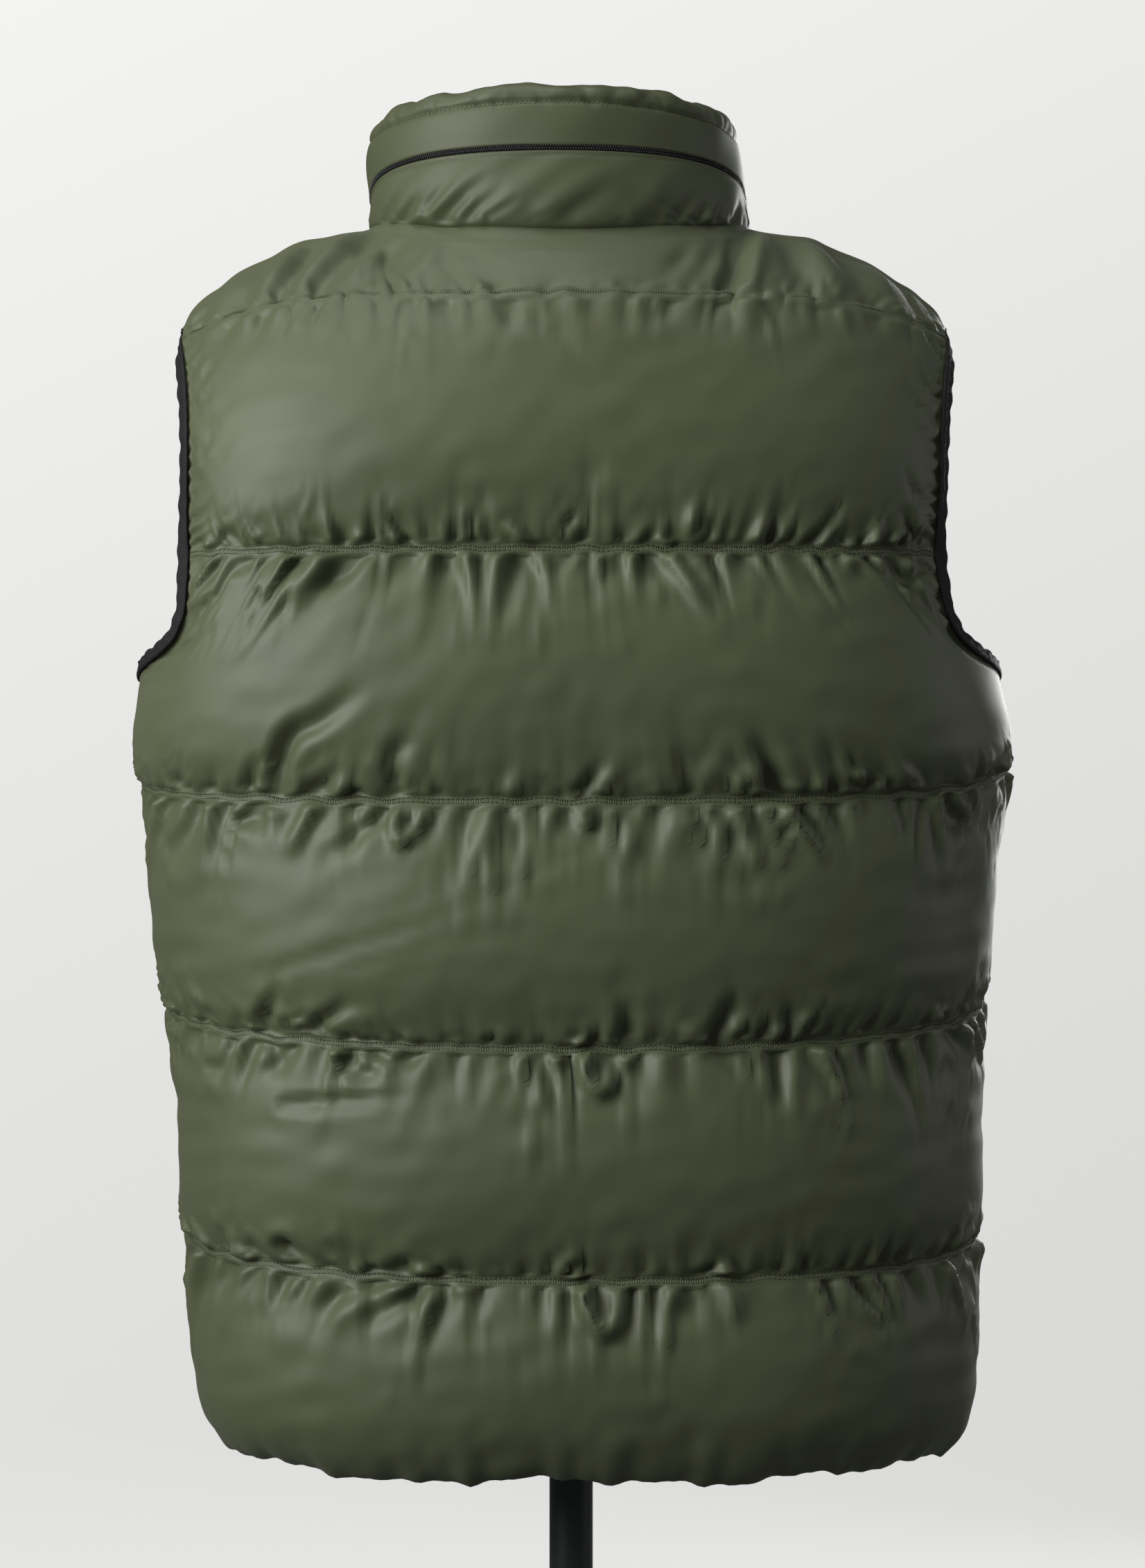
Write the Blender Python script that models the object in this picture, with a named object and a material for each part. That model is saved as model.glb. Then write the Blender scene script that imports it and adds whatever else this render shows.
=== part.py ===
"""Quilted down gilet standing on a limbless dress form with a pole and a round base.

The garment's front faces -Y, its wearer's left is +X, and the floor is z = 0 under the pole.
Every garment panel is a padded wall on one common shell surface.  The shell is laid out in
(s, t): s runs from the centre line (0) to the side seam or armhole (1), and t counts the
quilting rows upwards, from 0 at the hem to 6 at the neck and shoulder seam.
"""
import math

import bmesh
import bpy
import numpy as np
from mathutils import Matrix, Vector

MM = 0.001

# ---------------------------------------------------------------- colours: base colour, roughness, metallic
DOWN_CLOTH = ((0.082, 0.094, 0.050), 0.42, 0.0)
COLLAR_CLOTH = ((0.100, 0.112, 0.062), 0.45, 0.0)
BINDING_TAPE = ((0.014, 0.014, 0.015), 0.75, 0.0)
ZIP_TAPE = ((0.012, 0.012, 0.013), 0.70, 0.0)
ZIP_TEETH = ((0.016, 0.016, 0.017), 0.45, 0.0)
ZIP_METAL = ((0.020, 0.020, 0.022), 0.38, 0.9)
FORM_JERSEY = ((0.62, 0.58, 0.50), 0.85, 0.0)
CAP_WOOD = ((0.35, 0.22, 0.12), 0.50, 0.0)
STAND_METAL = ((0.018, 0.019, 0.020), 0.50, 0.3)

# ---------------------------------------------------------------- driving sizes (metres)
SEAM_GAP = 0.3 * MM             # air between two pieces that meet at a seam
LINING = 2.0 * MM               # shell surface to the lining face
FACE = 1.5 * MM                 # shell surface to the face of the cloth at a quilting line
ROLL_HEIGHT = 1.080             # above this the shell rolls over towards neck and shoulders
UNDERARM = 0.968                # height of the lowest point of an armhole
UNDERARM_ROW = 3 + 1 / 3        # row that meets the side edge there
EDGE_POWER = 1.4                # how fast the columns crowd towards an armhole
LAST_TURN_BACK = 58             # degrees that the roll turns through at centre back
LAST_TURN_FRONT = 52            # and at centre front; towards the shoulders it reaches 90
NECK_SHARE = 0.35               # share of a panel's columns that end on the neck seam

# The shell at the quilting lines, one row for each level:
# height, half width, depth of the back, depth of the front, sway to the wearer's left, squareness
SHELL_LEVELS = (
    (0.520, 0.198, 0.110, 0.104, -0.009, 2.4),
    (0.532, 0.208, 0.117, 0.111, -0.009, 2.4),
    (0.548, 0.2150, 0.122, 0.116, -0.009, 2.4),
    (0.580, 0.2185, 0.125, 0.119, -0.008, 2.4),
    (0.620, 0.2210, 0.126, 0.120, -0.007, 2.4),
    (0.660, 0.2250, 0.127, 0.121, -0.006, 2.4),
    (0.720, 0.2240, 0.128, 0.122, -0.005, 2.4),
    (0.790, 0.2330, 0.130, 0.124, -0.002, 2.4),
    (0.840, 0.2350, 0.131, 0.124, -0.001, 2.4),
    (0.885, 0.2400, 0.132, 0.124, -0.001, 2.5),
    (0.930, 0.2475, 0.132, 0.124, -0.001, 2.6),
    (0.955, 0.2440, 0.131, 0.123, 0.000, 2.7),
    (1.000, 0.2380, 0.129, 0.121, 0.003, 2.9),
    (1.040, 0.2360, 0.127, 0.119, 0.005, 3.0),
    (1.080, 0.2360, 0.126, 0.118, 0.004, 3.0),
    (1.170, 0.2360, 0.126, 0.118, 0.004, 3.0),
    (1.210, 0.2360, 0.126, 0.118, 0.006, 3.0),
    (1.300, 0.2360, 0.126, 0.118, 0.009, 3.0),
)

# Quilting lines from the hem up: height at centre back, centre front, left side, right side,
# and how much of the padding's loft is left where the line pulls it in
SEAM_LINES = (
    (0.5265, 0.531, 0.546, 0.546, 0.00),
    (0.6410, 0.648, 0.661, 0.657, 0.00),
    (0.7680, 0.775, 0.790, 0.790, 0.00),
    (0.9025, 0.906, 0.915, 0.930, 0.00),
    (1.0400, 1.034, 1.040, 1.040, 0.00),
    (1.1760, 1.116, 1.160, 1.160, 0.55),
)
NECK_FADE = 0.20                # reach of that thinning, as a share of the neck's radius
NECK_LOFT_LEFT = 0.05           # the same share at the neck and shoulder seam
BAFFLE_LOFT = (20 * MM, 22 * MM, 22 * MM, 22 * MM, 20 * MM, 9 * MM)
SWELL = dict(lean=0.9, fullness=0.62,      # below 1: fuller in the upper half, flatter on top
             side_loss=0.80, side_power=2.5, zip_loss=0.65, zip_reach=0.05, least=0.2)
SEAM_RISE_POWER = 2.5           # a quilting line stays level over the back and lifts near the sides

# Cloth edge of the armholes: height, how far round the ring the back's edge and the front's edge lie
ARMHOLE_EDGE = (
    (UNDERARM, 90.0, 90.0),
    (0.970, 82.0, 81.0),
    (0.974, 73.0, 71.0),
    (0.980, 63.5, 60.0),
    (0.988, 57.0, 52.0),
    (1.000, 53.5, 48.0),
    (1.020, 52.0, 46.0),
    (1.040, 51.5, 45.0),
    (1.080, 51.5, 44.5),
)

NECK = dict(half=0.1085, centre=0.012, back=0.076, front=0.090,
            z_side=1.2265, z_back=1.2170, z_front=1.1650,
            lean_side=0.36, lean_back=1.22, lean_front=0.81)
SHOULDER = dict(tip=0.2235, slope=0.30, drop=1.60)      # seam falls by slope*d + drop*d*d

# Largest folds: x, height, length, half width, share of the loft (a ridge is negative), lean in degrees
BACK_FOLDS = (
    (0.130, 0.932, 0.062, 0.015, 0.42, -38),
    (0.090, 0.928, 0.046, 0.013, 0.26, -12),
    (-0.060, 0.926, 0.052, 0.014, 0.34, 12),
    (-0.150, 0.944, 0.050, 0.014, 0.28, 26),
    (0.152, 0.884, 0.052, 0.014, 0.36, 25),
    (0.088, 0.880, 0.044, 0.014, 0.38, -6),
    (0.020, 0.884, 0.038, 0.013, 0.22, 4),
    (-0.118, 0.878, 0.056, 0.015, 0.34, -24),
    (0.156, 0.742, 0.056, 0.015, 0.38, -12),
    (0.090, 0.748, 0.042, 0.013, 0.26, 10),
    (-0.012, 0.742, 0.052, 0.014, 0.42, 4),
    (-0.112, 0.746, 0.058, 0.014, 0.36, 14),
    (0.160, 0.806, 0.046, 0.014, 0.28, -20),
    (-0.082, 0.794, 0.052, 0.014, 0.34, 20),
    (0.158, 0.616, 0.058, 0.015, 0.50, -8),
    (0.100, 0.608, 0.070, 0.015, 0.34, 52),
    (-0.022, 0.614, 0.054, 0.014, 0.38, 3),
    (-0.096, 0.612, 0.062, 0.014, 0.36, -12),
    (0.142, 1.010, 0.058, 0.015, 0.38, 35),
    (0.056, 1.012, 0.046, 0.014, 0.26, -8),
    (-0.072, 1.006, 0.066, 0.015, 0.38, -22),
    (-0.140, 1.014, 0.050, 0.014, 0.26, -30),
    (0.168, 1.150, 0.084, 0.015, 0.26, 24),
    (-0.166, 1.150, 0.084, 0.015, 0.26, -24),
    (0.034, 0.556, 0.048, 0.014, 0.28, 6),
    (-0.148, 0.560, 0.052, 0.014, 0.30, -10),
)
FRONT_FOLDS = (
    (0.132, 0.930, 0.056, 0.015, 0.36, -24),
    (0.072, 0.882, 0.054, 0.014, 0.34, 14),
    (0.158, 0.750, 0.056, 0.015, 0.36, 10),
    (0.084, 0.748, 0.050, 0.014, 0.34, -16),
    (0.112, 0.618, 0.058, 0.014, 0.38, 8),
    (0.060, 0.800, 0.048, 0.014, 0.30, -10),
    (0.122, 1.006, 0.056, 0.015, 0.36, 18),
    (0.150, 0.560, 0.050, 0.014, 0.30, -12),
)

ZIP = dict(half=0.0105, chain=0.0046, tape_gap=0.5 * MM, tape_depth=1.6 * MM, chain_depth=3.2 * MM)
COLLAR = dict(
    # share of the height, half width, depth of the back, depth of the front at the outer face
    rings=((0.00, 0.1080, 0.0755, 0.0895), (0.35, 0.1110, 0.0825, 0.0925),
           (0.70, 0.1105, 0.0840, 0.0900), (1.00, 0.1040, 0.0790, 0.0840)),
    z_back=1.3005, z_side=1.2930, z_front=1.2360,
    zip_side=0.018, zip_back=0.046, zip_height=3.0 * MM, zip_depth=3.0 * MM, zip_inset=1.2 * MM,
    seam_gap=0.5 * MM, stand_wall=7.0 * MM, stand_middle=0.55, stand_inset=(2.5 * MM, 2.0 * MM),
    # the band's outline: share of its height, distance inwards from the outer face
    band=((0.00, 0.0 * MM), (0.22, -3.0 * MM), (0.55, -2.4 * MM), (0.85, 1.0 * MM), (1.00, 6.3 * MM),
          (0.86, 13.3 * MM), (0.50, 15.4 * MM), (0.00, 11.2 * MM)),
)
BINDING = dict(gap=0.8 * MM, width=8.0 * MM, outer=3.4 * MM, inner=3.0 * MM, edge=1.4 * MM, mid=0.75)

FORM_LEVELS = (                 # height, half width, back, front of the dress form
    (0.602, 0.160, 0.098, 0.094),
    (0.612, 0.165, 0.103, 0.099),
    (0.700, 0.172, 0.109, 0.103),
    (0.800, 0.158, 0.098, 0.096),
    (0.900, 0.170, 0.103, 0.102),
    (1.000, 0.184, 0.110, 0.108),
    (1.080, 0.188, 0.106, 0.102),
)
FORM = dict(squareness=2.3, tip=0.192, rest_at=0.165, neck_bend=4.0, tip_bend=9.0,
            neck_half=0.064, neck_back=0.056, neck_front=0.058, neck_z_back=1.200,
            neck_z_front=1.140, neck_top=1.254, neck_top_half=0.060, clearance=1.6 * MM,
            rows=(0.0, 0.021, 0.12, 0.24, 0.36, 0.48, 0.60, 0.72, 0.84, 0.94), turns=8, columns=12,
            last_turn=60, neck_power=1.5,
            neck_share=4 / 12)  # a whole number of columns ends on the neck
POLE = dict(radius=12.5 * MM, sleeve_wall=4 * MM, flange_radius=34 * MM, flange_height=34 * MM,
            flange_edge=4 * MM)
BASE = dict(radius=190 * MM, thickness=12 * MM, edge=3 * MM, boss_radius=26 * MM, boss_height=40 * MM)
CAP = dict(stretch=0.94,        # outline: distance beyond the neck's radius or share of it, height
           rim=((0.0 * MM, 0 * MM), (1.5 * MM, 2 * MM), (1.5 * MM, 6 * MM), (-2.0 * MM, 9 * MM)),
           crown=((0.60, 12 * MM), (0.15, 13 * MM)))

SLIDER = dict(width=11.0 * MM, height=17.0 * MM, depth=3.0 * MM, below_top=14 * MM, clearance=0.75 * MM,
              bridge_width=3.2 * MM, bridge_height=11.0 * MM, bridge_reach=5.0 * MM, bridge_wall=1.5 * MM,
              # half outline as shares of the half width and half height
              outline=((0.62, -1.0), (1.0, -0.3), (1.0, 0.55), (0.7, 1.0)))
PULL = dict(width=9.0 * MM, length=34 * MM, thickness=1.8 * MM, bar=1.8 * MM, eye_width=5.2 * MM,
            eye_height=7.0 * MM, lean=5.0,
            # half outline below the bar as shares of the half width and of the length
            outline=((1.0, 0.0), (1.0, 0.45), (0.72, 0.94), (0.4, 1.0)))

BACK_COLUMNS = 40               # both counts are even, as the lining takes every second column
FRONT_COLUMNS = 20
CENTRE_COLUMN = 1e-6            # keeps the sign of a front's centre edge
EDGE_TRIM = 0.0007              # share of s taken off each side edge, half the air at that seam
TOP_TRIM = 0.0035               # share of a row taken off the top for the same air
LOW_ROWS = (0.0, 0.12, 0.36, 0.64, 0.88)
UNDERARM_ROWS = (0.0, 0.15, UNDERARM_ROW - 3, 0.350, 0.385, 0.44, 0.53, 0.68, 0.86)
TOP_ROWS = (0.0, 0.20, 0.42, 0.64, 0.84)
ROWS = tuple([row + share for row in range(3) for share in LOW_ROWS]
             + [3 + share for share in UNDERARM_ROWS]
             + [4 + share for share in LOW_ROWS] + [5 + share for share in TOP_ROWS] + [6.0])


# ---------------------------------------------------------------- small tools
def smooth(x, table, column):
    """Value at x on a smooth curve through one column of a table whose first column is x."""
    xs = np.array([row[0] for row in table])
    ys = np.array([row[column] for row in table])
    slopes = np.gradient(ys, xs)
    x = np.clip(x, xs[0], xs[-1])
    k = np.clip(np.searchsorted(xs, x) - 1, 0, len(xs) - 2)
    step = xs[k + 1] - xs[k]
    f = (x - xs[k]) / step
    return (ys[k] * (1 - f) ** 2 * (1 + 2 * f) + ys[k + 1] * f ** 2 * (3 - 2 * f)
            + slopes[k] * step * f * (1 - f) ** 2 - slopes[k + 1] * step * f ** 2 * (1 - f))


def mix(a, b, share):
    return a + (b - a) * share


def unit(vectors):
    return vectors / np.linalg.norm(vectors, axis=-1, keepdims=True)


def superellipse(theta, squareness):
    """Sine and cosine parts of a superellipse, evenly spread over theta."""
    reach = (np.abs(np.sin(theta)) ** squareness + np.abs(np.cos(theta)) ** squareness) ** (-1 / squareness)
    return reach * np.sin(theta), reach * np.cos(theta)


def paint(obj, name, look):
    color, roughness, metallic = look
    material = bpy.data.materials.get(name) or bpy.data.materials.new(name)
    material.use_nodes = True
    shader = material.node_tree.nodes["Principled BSDF"]
    shader.inputs["Base Color"].default_value = (*color, 1.0)
    shader.inputs["Roughness"].default_value = roughness
    shader.inputs["Metallic"].default_value = metallic
    obj.data.materials.append(material)


def add_object(name, bm, sharp_angle=40):
    mesh = bpy.data.meshes.new(name)
    bmesh.ops.triangulate(bm, faces=bm.faces[:])
    bmesh.ops.recalc_face_normals(bm, faces=bm.faces[:])
    bm.to_mesh(mesh)
    bm.free()
    mesh.shade_smooth()
    mesh.set_sharp_from_angle(angle=math.radians(sharp_angle))
    obj = bpy.data.objects.new(name, mesh)
    bpy.context.collection.objects.link(obj)
    return obj


# ---------------------------------------------------------------- shell surface
def row_height(s, t, back):
    """Height of row t on column s, up to the yoke line at t = 5."""
    rows = (0, 1, 2, 3, UNDERARM_ROW, 4, 5)
    centre = np.interp(t, range(6), [line[0 if back else 1] for line in SEAM_LINES])
    sides = []
    for column in (2, 3):
        heights = [line[column] for line in SEAM_LINES]
        sides.append(np.interp(t, rows, heights[:4] + [UNDERARM] + heights[4:]))
    return mix(centre, np.where(s > 0, sides[0], sides[1]), np.abs(s) ** SEAM_RISE_POWER)


def edge_angle(t, back):
    """How far round the ring a row ends: at the side seam, or at the armhole above it."""
    heights = [line[2] for line in SEAM_LINES]
    height = np.interp(t, (0, 1, 2, 3, UNDERARM_ROW, 4, 5), [UNDERARM] * 4 + [UNDERARM] + heights[4:])
    return np.radians(smooth(height, ARMHOLE_EDGE, 1 if back else 2))


def shell_ring(s, t, z, back):
    """Point of column s and row t on the ring at height z, below the roll of the shoulders."""
    width = smooth(z, SHELL_LEVELS, 1)
    depth = smooth(z, SHELL_LEVELS, 2 if back else 3)
    squareness = smooth(z, SHELL_LEVELS, 5)
    start_share = 0.0 if back else ZIP["half"] / width
    start = np.arctan2(start_share, (1 - start_share ** squareness) ** (1 / squareness))
    quarter, size = math.pi / 2, np.abs(s)
    theta = start + (quarter - start) * size - (quarter - edge_angle(t, back)) * size ** EDGE_POWER
    across, along = superellipse(theta, squareness)
    x = np.where(s < 0, -1, 1) * width * across
    y = depth * along * (1 if back else -1)
    return np.stack([x, y, z + 0 * x], -1)


def neck_ring(angle):
    """Neck seam; the angle is 0 at centre back and pi at centre front."""
    share = np.cos(angle)
    y = NECK["centre"] + np.where(share > 0, NECK["back"], NECK["front"]) * share
    z = mix(NECK["z_side"], np.where(share > 0, NECK["z_back"], NECK["z_front"]), share ** 2)
    return np.stack([NECK["half"] * np.sin(angle), y, z], -1)


def front_neck_end():
    return math.pi - math.asin(ZIP["half"] / NECK["half"])


def shell_top(s, back):
    """Neck seam over the inner columns, then the shoulder seam out to its tip."""
    size = np.abs(s)
    start = 0.0 if back else front_neck_end()
    neck = neck_ring(mix(start, math.pi / 2, np.minimum(size / NECK_SHARE, 1)))
    out = np.clip((size - NECK_SHARE) / (1 - NECK_SHARE), 0, 1)
    d = (SHOULDER["tip"] - NECK["half"]) * out
    shoulder = np.stack([NECK["half"] + d, NECK["centre"] + 0 * d,
                         NECK["z_side"] - SHOULDER["slope"] * d - SHOULDER["drop"] * d * d], -1)
    top = np.where((size > NECK_SHARE)[..., None], shoulder, neck)
    top[..., 0] *= np.where(s < 0, -1, 1)
    return top


def shell_point(s, t, back):
    """Point of the shell surface at (s, t)."""
    s, t = np.broadcast_arrays(np.asarray(s, float), np.asarray(t, float))
    z = row_height(s, t, back)
    low = shell_ring(s, t, np.minimum(z, ROLL_HEIGHT), back)
    top = shell_top(s, back)
    least = LAST_TURN_BACK if back else LAST_TURN_FRONT
    last = np.radians(mix(least, 90, np.minimum(np.abs(s) / NECK_SHARE, 1) ** 2))
    rise = top[..., 2] - ROLL_HEIGHT
    yoke = np.arcsin((row_height(s, 5.0, back) - ROLL_HEIGHT) / rise * np.sin(last))
    turn = np.where(t > 5, mix(yoke, last, t - 5),
                    np.arcsin(np.clip((z - ROLL_HEIGHT) / rise, 0, 1) * np.sin(last)))
    share = ((1 - np.cos(turn)) / (1 - np.cos(last)))[..., None]
    point = mix(low, top, share)
    point[..., 2] = np.where((z > ROLL_HEIGHT) | (t > 5),
                             ROLL_HEIGHT + rise * np.sin(turn) / np.sin(last), low[..., 2])
    point[..., 0] += smooth(point[..., 2], SHELL_LEVELS, 4)
    return point


def shell_frame(s, t, back):
    """Point, outward normal and upward tangent of the shell at (s, t)."""
    step = 0.004
    s, t = np.broadcast_arrays(np.asarray(s, float), np.asarray(t, float))
    lowest = np.where(back | (s < 0), -1.0, CENTRE_COLUMN)
    highest = np.where(back | (s > 0), 1.0, -CENTRE_COLUMN)
    across = (shell_point(np.minimum(s + step, highest), t, back)
              - shell_point(np.maximum(s - step, lowest), t, back))
    up = shell_point(s, np.minimum(t + step, 6), back) - shell_point(s, np.maximum(t - step, 0), back)
    normal = unit(np.cross(up, across)) * (1 if back else -1)
    return shell_point(s, t, back), normal, unit(up)


def neck_rim(angle):
    """Direction across the padded rim along the neck seam, leaning out more at back and front."""
    share = np.cos(angle)
    lean = mix(NECK["lean_side"], np.where(share > 0, NECK["lean_back"], NECK["lean_front"]), share ** 2)
    return unit(np.stack([lean * np.sin(angle), lean * share, 1 + 0 * share], -1))


def rim_normal(s, t, normal, back):
    """Pieces that meet at the neck or shoulder seam share one rim direction, so their rims run parallel."""
    size = np.abs(s)
    start = 0.0 if back else front_neck_end()
    angle = mix(start, math.pi / 2, np.minimum(size / NECK_SHARE, 1)) * np.where(s < 0, -1, 1)
    _, other, _ = shell_frame(s, t, not back)
    shared = np.where((size > NECK_SHARE + 0.01)[..., None], unit(normal + other), neck_rim(angle))
    return np.where((t > 5.9)[..., None], shared, normal)


def fold_share(points, folds):
    """Share of the loft that the folds take away at each point."""
    total = np.zeros(points.shape[:-1])
    for x, z, length, half_width, share, lean in folds:
        dx, dz = points[..., 0] - x, points[..., 2] - z
        angle = math.radians(lean)
        along = dx * math.sin(angle) + dz * math.cos(angle)
        aside = dx * math.cos(angle) - dz * math.sin(angle)
        total += share * np.exp(-(aside / half_width) ** 2 - (2 * along / length) ** 4)
    return total


def neck_fade(points, t):
    """The padding of the top row thins out before it reaches the collar."""
    x = (points[..., 0] - smooth(points[..., 2], SHELL_LEVELS, 4)) / NECK["half"]
    y = points[..., 1] - NECK["centre"]
    y = y / np.where(y > 0, NECK["back"], NECK["front"])
    away = np.clip((np.hypot(x, y) - 1) / NECK_FADE, 0, 1)
    return np.where(t > 5, away * away * (3 - 2 * away), 1.0)


def loft(s, t, points, back):
    """Height of the cloth's face above the quilting level."""
    k = np.clip(np.floor(t).astype(int), 0, 5)
    f = t - k
    held = np.array([row[4] for row in SEAM_LINES] + [NECK_LOFT_LEFT])
    level = mix(held[k], held[k + 1], f)
    full = np.interp(t, np.arange(6) + 0.5, BAFFLE_LOFT)
    swell = level + (1 - level) * np.sin(math.pi * f ** SWELL["lean"]) ** SWELL["fullness"]
    edge = (1 - SWELL["side_loss"] * np.abs(s) ** SWELL["side_power"]) * neck_fade(points, t)
    if not back:
        edge = edge * (1 - SWELL["zip_loss"] * np.exp(-(np.abs(s) / SWELL["zip_reach"]) ** 2))
    folds = BACK_FOLDS if back else FRONT_FOLDS
    mirrored = points if back else np.abs(points)
    return full * swell * edge * np.maximum(1 - fold_share(mirrored, folds), SWELL["least"])


# ---------------------------------------------------------------- quilted panels
def panel_grids(columns, back):
    """Face and lining points of a panel, row by row."""
    s = np.array(columns)
    t = np.array(ROWS)
    s[np.abs(s) > 0.999] *= 1 - EDGE_TRIM
    t[-1] -= TOP_TRIM
    s, t = np.meshgrid(s, t)
    point, normal, _ = shell_frame(s, t, back)
    normal = rim_normal(s, t, normal, back)
    if not back:
        centre = np.abs(s) < 2 * CENTRE_COLUMN
        normal[centre, 0] = 0
        normal = unit(normal)
    face = point + normal * (FACE + loft(s, t, point, back))[..., None]
    return face, point - normal * LINING


def grid_faces(bm, grid, flip):
    verts = [[bm.verts.new(p) for p in row] for row in grid]
    for low, high in zip(verts, verts[1:]):
        for j in range(len(low) - 1):
            quad = (low[j], low[j + 1], high[j + 1], high[j])
            bm.faces.new(quad[::-1] if flip else quad)
    return verts


def lining_faces(bm, grid, flip):
    """Every second column and, under the shoulders, every second row; along the rim every point."""
    last_row, last_column = len(grid) - 1, len(grid[0]) - 1
    verts = {}
    for i, row in enumerate(grid):
        for j, point in enumerate(row):
            kept_row = i % 2 == 0 or ROWS[i] > 5
            if i in (0, last_row) or j in (0, last_column) or (kept_row and j % 2 == 0):
                verts[i, j] = bm.verts.new(point)
    for i in range(0, last_row, 2):
        for j in range(0, last_column, 2):
            block = ((i, j), (i, j + 1), (i, j + 2), (i + 1, j + 2), (i + 2, j + 2), (i + 2, j + 1),
                     (i + 2, j), (i + 1, j))
            corners = [verts[place] for place in block if place in verts]
            bm.faces.new(corners[::-1] if flip else corners)
    return verts


def rim_faces(bm, face, lining):
    """Close a rim, with every diagonal drawn the same way so that neighbouring rims stay parallel."""
    for a, b, c, d in zip(face, face[1:], lining, lining[1:]):
        bm.faces.new((a, b, d))
        bm.faces.new((a, d, c))


def padded_panel(name, columns, back):
    face, lining = panel_grids(columns, back)
    bm = bmesh.new()
    outer = grid_faces(bm, face, back)
    inner = lining_faces(bm, lining, not back)
    last_row, last_column = len(ROWS) - 1, len(columns) - 1
    for i in (0, last_row):
        rim_faces(bm, outer[i], [inner[i, j] for j in range(last_column + 1)])
    for j in (0, last_column):
        rim_faces(bm, [row[j] for row in outer], [inner[i, j] for i in range(last_row + 1)])
    obj = add_object(name, bm, 60)
    paint(obj, "down_cloth", DOWN_CLOTH)
    return obj


def back_columns():
    return [-1 + 2 * j / BACK_COLUMNS for j in range(BACK_COLUMNS + 1)]


def front_columns(side):
    return [side * max(j / FRONT_COLUMNS, CENTRE_COLUMN) for j in range(FRONT_COLUMNS + 1)]


# ---------------------------------------------------------------- lofted bands
def closed_loft(name, sections, ring=False, sharp_angle=75, falling=None):
    """Solid through sections of equal point counts, capped at both ends unless it is a ring.

    The last side of each stretch faces a panel's rim; falling tells which way its diagonal runs.
    """
    bm = bmesh.new()
    rows = [[bm.verts.new(p) for p in section] for section in sections]
    pairs = list(zip(rows, rows[1:])) + ([(rows[-1], rows[0])] if ring else [])
    for number, (one, two) in enumerate(pairs):
        for j in range(len(one)):
            k = (j + 1) % len(one)
            if k == 0 and falling:
                diagonal = (one[j], two[k]) if falling[number] else (one[k], two[j])
                bm.faces.new((one[j], one[k], diagonal[1]))
                bm.faces.new((diagonal[0], two[k], two[j]))
            else:
                bm.faces.new((one[j], one[k], two[k], two[j]))
    if not ring:
        bm.faces.new(rows[0][::-1])
        bm.faces.new(rows[-1])
    return add_object(name, bm, sharp_angle)


def collar_angles():
    """Angles of the collar's columns, the same as where the panels' columns reach the neck."""
    end = front_neck_end()
    half = round(BACK_COLUMNS / 2 * NECK_SHARE)
    back = [math.pi / 2 * j / half for j in range(-half, half + 1)]
    front = [mix(math.pi / 2, end, j / half) for j in range(1, half + 1)]
    return [-a for a in front[::-1]] + back + front


def neck_frame(angle):
    """Neck seam's point, the rim direction of the panels there, and the way into the collar."""
    point = neck_ring(np.array(angle))
    point[0] += float(smooth(point[2], SHELL_LEVELS, 4))
    run = neck_ring(np.array(angle + 0.01)) - neck_ring(np.array(angle - 0.01))
    rim = neck_rim(angle)
    inward = unit(np.cross(run, rim))
    return point, rim, inward


def collar_point(angle, z, inset):
    """Point of the collar at a height, measured inwards from its outer face."""
    share = math.cos(angle)
    top = collar_top(angle)
    bottom = float(neck_ring(np.array(angle))[2])
    rings = COLLAR["rings"]
    v = (z - bottom) / (top - bottom)
    half = float(smooth(v, rings, 1)) - inset
    depth = float(smooth(v, rings, 2 if share > 0 else 3)) - inset
    x = half * math.sin(angle) + float(smooth(z, SHELL_LEVELS, 4))
    return np.array([x, NECK["centre"] + depth * share, z])


def collar_top(angle):
    share = math.cos(angle)
    other = COLLAR["z_back"] if share > 0 else COLLAR["z_front"]
    return mix(COLLAR["z_side"], other, abs(share) ** 1.6)


def zip_line(angle):
    rise = mix(COLLAR["zip_side"], COLLAR["zip_back"], max(math.cos(angle), 0.0) ** 0.8)
    return float(neck_ring(np.array(angle))[2]) + rise


def level_ends(section, angle):
    """Front ends of the collar pieces lie flat against the zip tape."""
    if abs(abs(angle) - front_neck_end()) < 1e-6:
        side = math.copysign(ZIP["half"], angle)
        section = [np.array([side + float(smooth(p[2], SHELL_LEVELS, 4)), p[1], p[2]]) for p in section]
    return section


def collar_stand():
    """Lower part of the collar, from the neck seam up to the hood pocket's zip."""
    sections = []
    angles = collar_angles()
    for angle in angles:
        seam, rim, inward = neck_frame(angle)
        base = seam + inward * COLLAR["seam_gap"]
        z = zip_line(angle) - COLLAR["zip_height"] / 2 - SEAM_GAP
        low = mix(float(base[2]), z, COLLAR["stand_middle"])
        middle, upper = COLLAR["stand_inset"]
        wall = COLLAR["stand_wall"]
        section = [base + rim * FACE, collar_point(angle, low, middle), collar_point(angle, z, upper),
                   collar_point(angle, z, wall), collar_point(angle, low, wall), base - rim * LINING]
        sections.append(level_ends(section, angle))
    falling = [angle > math.pi / 2 - 1e-9 for angle in angles[:-1]]
    obj = closed_loft("collar_stand", sections, falling=falling)
    paint(obj, "collar_cloth", COLLAR_CLOTH)


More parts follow.
